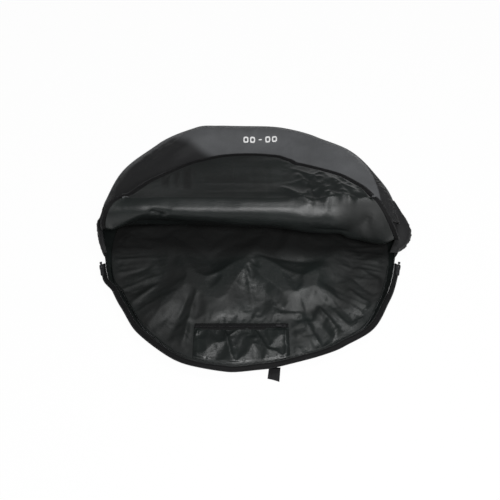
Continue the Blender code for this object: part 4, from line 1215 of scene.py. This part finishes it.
class BagPocket(Step, Operator):
    """Make the pocket's cloth, its zip tapes and fine teeth"""
    bl_idname = "wheel_bag.pocket"
    bl_label = "Pocket"

    def make(self, sizes):
        left, right = POCKET_LOW.x, POCKET_HIGH.x
        top = POCKET_TEETH_LOW.y
        x = np.linspace(left, right, 52)[:, None]
        v = np.linspace(0.0, 1.0, 26)[None, :]
        wave = near_wave(np.arctan2(-0.35 + 0 * x, x) % math.tau)
        rim = -np.sqrt((BASE_RADIUS - 0.006) ** 2 - x ** 2) * (1.0 + 0.9 * wave)
        y = rim + (top - rim) * v
        x = x + 0 * v
        rough = 0.0030 * crumple(x, y, 0.090, 71, 2) + 0.0030 * ripples(x, y, 0.09, 75, 2)
        free = smooth(np.minimum(x - left, right - x) / 0.008) * smooth(v / 0.1) * smooth((top - y) / 0.012)
        height = POCKET_LOW.z + 0.0010 + (rough + crease(x, y, POCKET_FOLDS)) * free
        points = np.stack([x, y, height], axis=-1)
        pins = np.zeros(points.shape[:2])
        pins[:1], pins[-1:], pins[:, :2], pins[:, -2:] = 1.0, 1.0, 1.0, 1.0
        made = sew("pocket_cloth", finer(finer(relax(points, pins, 0.012, bend=30.0))), "lining", CLOTH)
        settle(made, "root", ["pocket_panel"])
        self.zip(left, right)

    def zip(self, left, right):
        middle = (POCKET_TEETH_LOW.y + POCKET_TEETH_HIGH.y) / 2
        height = POCKET_TEETH_LOW.z
        x = np.linspace(left + 0.001, right - 0.001, 120)[:, None]
        across = np.linspace(-POCKET_TAPES / 2, POCKET_TAPES / 2, 7)[None, :]
        lift = 0.0002 * np.sin(x * 260.0) + 0 * across
        points = np.stack([x + 0 * across, middle + across + 0 * x, height + lift], axis=-1)
        made = sew("pocket_tapes", points, "tape", 0.0006)
        settle(made, "root", ["pocket_tape_upper", "pocket_tape_lower"])
        line = np.stack([x[:, 0], middle + 0 * x[:, 0], height + 0.0008 + 0 * x[:, 0]], axis=-1)
        out = np.tile([0.0, 1.0, 0.0], (len(line), 1))
        teeth = row_object("pocket_teeth", line, out, (0.0038, 0.0011, 0.0014), 0.0016, "plastic")
        settle(teeth, "root", ["pocket_zip_teeth"])


class BagTab(Step, Operator):
    """Make the short loop of webbing sewn under the near rim"""
    bl_idname = "wheel_bag.tab"
    bl_label = "Webbing tab"

    def make(self, sizes):
        middle = (TAB_LOW.x + TAB_HIGH.x) / 2
        width = TAB_HIGH.x - TAB_LOW.x
        sewn, tip = TAB_HIGH.y + 0.0085, TAB_LOW.y + 0.0125
        rise = 0.0008
        turn = np.linspace(0.0, math.pi, 9)
        flat = np.linspace(0.0, 1.0, 12)[:-1]
        out, back = sewn + (tip - sewn) * flat, tip + (sewn - tip) * flat
        along = np.concatenate([out, tip - rise * np.sin(turn), back[1:]])
        height = np.concatenate([0 * flat, rise * (1.0 - np.cos(turn)), 2 * rise + 0 * flat[1:]])
        across = np.linspace(-0.5, 0.5, 12)[:, None]
        share = (sewn - along)[None, :] / (sewn - tip)
        x = middle - 0.002 + width * 0.94 * across - 0.0035 * share
        y = along[None, :] - 0.0080 * share * (across + 0.2)
        lift = TAB_LOW.z + 0.0006 + height[None, :] + 0.0016 * share ** 2 * np.cos(across * 2.4)
        made = sew("tab_webbing", np.stack([x, y, lift], axis=-1)[::-1], "webbing", 0.0011, 0.0)
        settle(made, "webbing_tab", ["webbing_tab"])


class BagHardware(Step, Operator):
    """Give the sliders, pulls and stops that keep the frame's shape their finish"""
    bl_idname = "wheel_bag.hardware"
    bl_label = "Hardware"

    def make(self, sizes):
        for name in ("zip_stop_left", "zip_stop_right", "slider_left", "slider_right", "pull_left", "pull_right",
                     "pocket_slider", "pocket_pull"):
            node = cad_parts[name]
            node.data.materials.clear()
            dress(node, "metal")


# The print's rings and its dash: middle x, half width, half length, share that is hollow
PRINT_Y = 0.3115
PRINT_MARKS = (*((x, 0.0068, 0.0090, 0.52) for x in (-0.011, 0.007, 0.048, 0.066)), (0.0275, 0.0045, 0.0016, 0.02))


class BagPrint(Step, Operator):
    """Make the plain white print on the cover: four round-cornered rings and a dash"""
    bl_idname = "wheel_bag.print"
    bl_label = "Print"

    def make(self, sizes):
        corners, faces = [], []
        for mark in PRINT_MARKS:
            self.ring(corners, faces, *mark)
        tree = BVHTree.FromObject(bpy.data.objects["cover_pad"], bpy.context.evaluated_depsgraph_get())
        places = []
        for x, y in corners:
            hit = tree.ray_cast(Vector((x, y, 0.3)), Vector((0.0, 0.0, -1.0)))
            places.append(tuple(hit[0] + hit[1] * 0.00015))
        mesh = bpy.data.meshes.new("cover_print")
        mesh.from_pydata(places, [], faces)
        mesh.shade_smooth()
        made = placed("cover_print", mesh)
        dress(made, "ink")
        settle(made, "root")

    def ring(self, corners, faces, middle, half_width, half_length, hollow):
        """A ring between two rounded rectangles, drawn flat."""
        first, steps = len(corners), 28
        for size in (hollow, 0.5 + hollow / 2, 1.0):
            for i in range(steps):
                turn = math.tau * i / steps
                cos, sin = math.cos(turn), math.sin(turn)
                corners.append((middle + half_width * size * math.copysign(abs(cos) ** 0.6, cos),
                                PRINT_Y + half_length * size * math.copysign(abs(sin) ** 0.6, sin)))
        for row in range(2):
            for i in range(steps):
                a, b = first + row * steps + i, first + row * steps + (i + 1) % steps
                faces.append((a, a + steps, b + steps, b))


# Lamps: name, place, width, watts
LAMPS = (("top", (0.45, 0.10, 1.70), 0.60, 10.0), ("front", (0.25, -1.25, 1.60), 0.60, 27.0))
LAMP_TARGET = Vector((0.0, 0.0, 0.05))
CAMERA_TARGET = Vector((0.0, -0.025, 0.03))
CAMERA_LIFT, CAMERA_DISTANCE = math.radians(50.0), 2.0
FLOOR_REACH = 30.0


class BagStage(Step, Operator):
    """Set the white floor, the lights and the camera"""
    bl_idname = "wheel_bag.stage"
    bl_label = "Stage"

    def make(self, sizes):
        self.world()
        self.floor()
        for lamp in LAMPS:
            self.lamp(*lamp)
        self.camera()
        bpy.context.scene.view_settings.view_transform = "Standard"

    def world(self):
        """Faint even light that the camera sees as white past the floor's edge."""
        world = bpy.data.worlds.new("dim_studio")
        bpy.context.scene.world = world
        world.use_nodes = True
        tree = world.node_tree
        light = tree.nodes["Background"]
        light.inputs["Color"].default_value = (1.0, 1.0, 1.0, 1.0)
        path = tree.nodes.new("ShaderNodeLightPath")
        strength = tree.nodes.new("ShaderNodeMath")
        strength.operation = "MULTIPLY_ADD"
        strength.inputs[1].default_value = 1.0 - WORLD_LIGHT
        strength.inputs[2].default_value = WORLD_LIGHT
        tree.links.new(path.outputs["Is Camera Ray"], strength.inputs[0])
        tree.links.new(strength.outputs["Value"], light.inputs["Strength"])

    def floor(self):
        """A floor that takes the object's shadow, and looks white to camera, glossy and transmission rays."""
        mesh = bpy.data.meshes.new("floor")
        corners = [(x * FLOOR_REACH, y * FLOOR_REACH, 0) for x, y in ((-1, -1), (1, -1), (1, 1), (-1, 1))]
        mesh.from_pydata(corners, [], [(0, 1, 2, 3)])
        made = placed("floor", mesh)
        made.location.z = -0.0005
        white = Finish("white_floor", (0.95, 0.95, 0.95), 0.9, 0.1)
        path = white.node("ShaderNodeLightPath").outputs
        seen = path["Is Camera Ray"]
        for ray in ("Is Glossy Ray", "Is Transmission Ray"):
            seen = white.math("MAXIMUM", seen, path[ray])
        glow = white.node("ShaderNodeEmission", Strength=1.0)
        mix = white.node("ShaderNodeMixShader")
        white.link(white.math("MULTIPLY", seen, 0.97), mix.inputs["Fac"])
        white.link(white.shader.outputs["BSDF"], mix.inputs[1])
        white.link(glow.outputs["Emission"], mix.inputs[2])
        white.link(mix.outputs["Shader"], white.tree.nodes["Material Output"].inputs["Surface"])
        made.data.materials.append(white.material)

    def aimed(self, name, data, place, target):
        made = placed(name, data)
        made.location = place
        made.rotation_euler = (target - Vector(place)).to_track_quat("-Z", "Y").to_euler()
        return made

    def lamp(self, name, place, size, power):
        light = bpy.data.lights.new(name, "AREA")
        light.shape, light.size, light.energy = "DISK", size, power
        self.aimed(name, light, place, LAMP_TARGET)

    def camera(self):
        data = bpy.data.cameras.new("camera")
        data.lens, data.sensor_width = 57.74, 36.0
        away = Vector((0.0, -math.cos(CAMERA_LIFT), math.sin(CAMERA_LIFT)))
        place = CAMERA_TARGET + CAMERA_DISTANCE * away
        bpy.context.scene.camera = self.aimed("camera", data, place, CAMERA_TARGET)


class BagPanel(Panel):
    """Buttons and sizes of the wheel bag"""
    bl_idname = "WHEEL_BAG_PT_main"
    bl_label = "Wheel Bag"
    bl_space_type = "VIEW_3D"
    bl_region_type = "UI"
    bl_category = "Wheel Bag"

    def draw(self, context):
        for group in (context.scene.wheel_bag_sizes, context.scene.wheel_bag_colours):
            box = self.layout.box()
            for name in group.bl_rna.properties.keys():
                if name not in {"rna_type", "name"}:
                    box.prop(group, name)
        for operator in OPERATORS:
            self.layout.operator(operator.bl_idname)


OPERATORS = (BagBack, BagNearRim, BagCover, BagRoll, BagFlap, BagPocket, BagTab, BagHardware, BagPrint,
             BagStage)
CLASSES = (BagSizes, BagColours, *OPERATORS, BagPanel)


def register():
    for kind in CLASSES:
        bpy.utils.register_class(kind)
    bpy.types.Scene.wheel_bag_sizes = PointerProperty(type=BagSizes)
    bpy.types.Scene.wheel_bag_colours = PointerProperty(type=BagColours)


def unregister():
    del bpy.types.Scene.wheel_bag_colours
    del bpy.types.Scene.wheel_bag_sizes
    for kind in reversed(CLASSES):
        bpy.utils.unregister_class(kind)


def main():
    register()
    for operator in OPERATORS:
        group, name = operator.bl_idname.split(".")
        getattr(getattr(bpy.ops, group), name)()


if __name__ == "__main__":
    main()
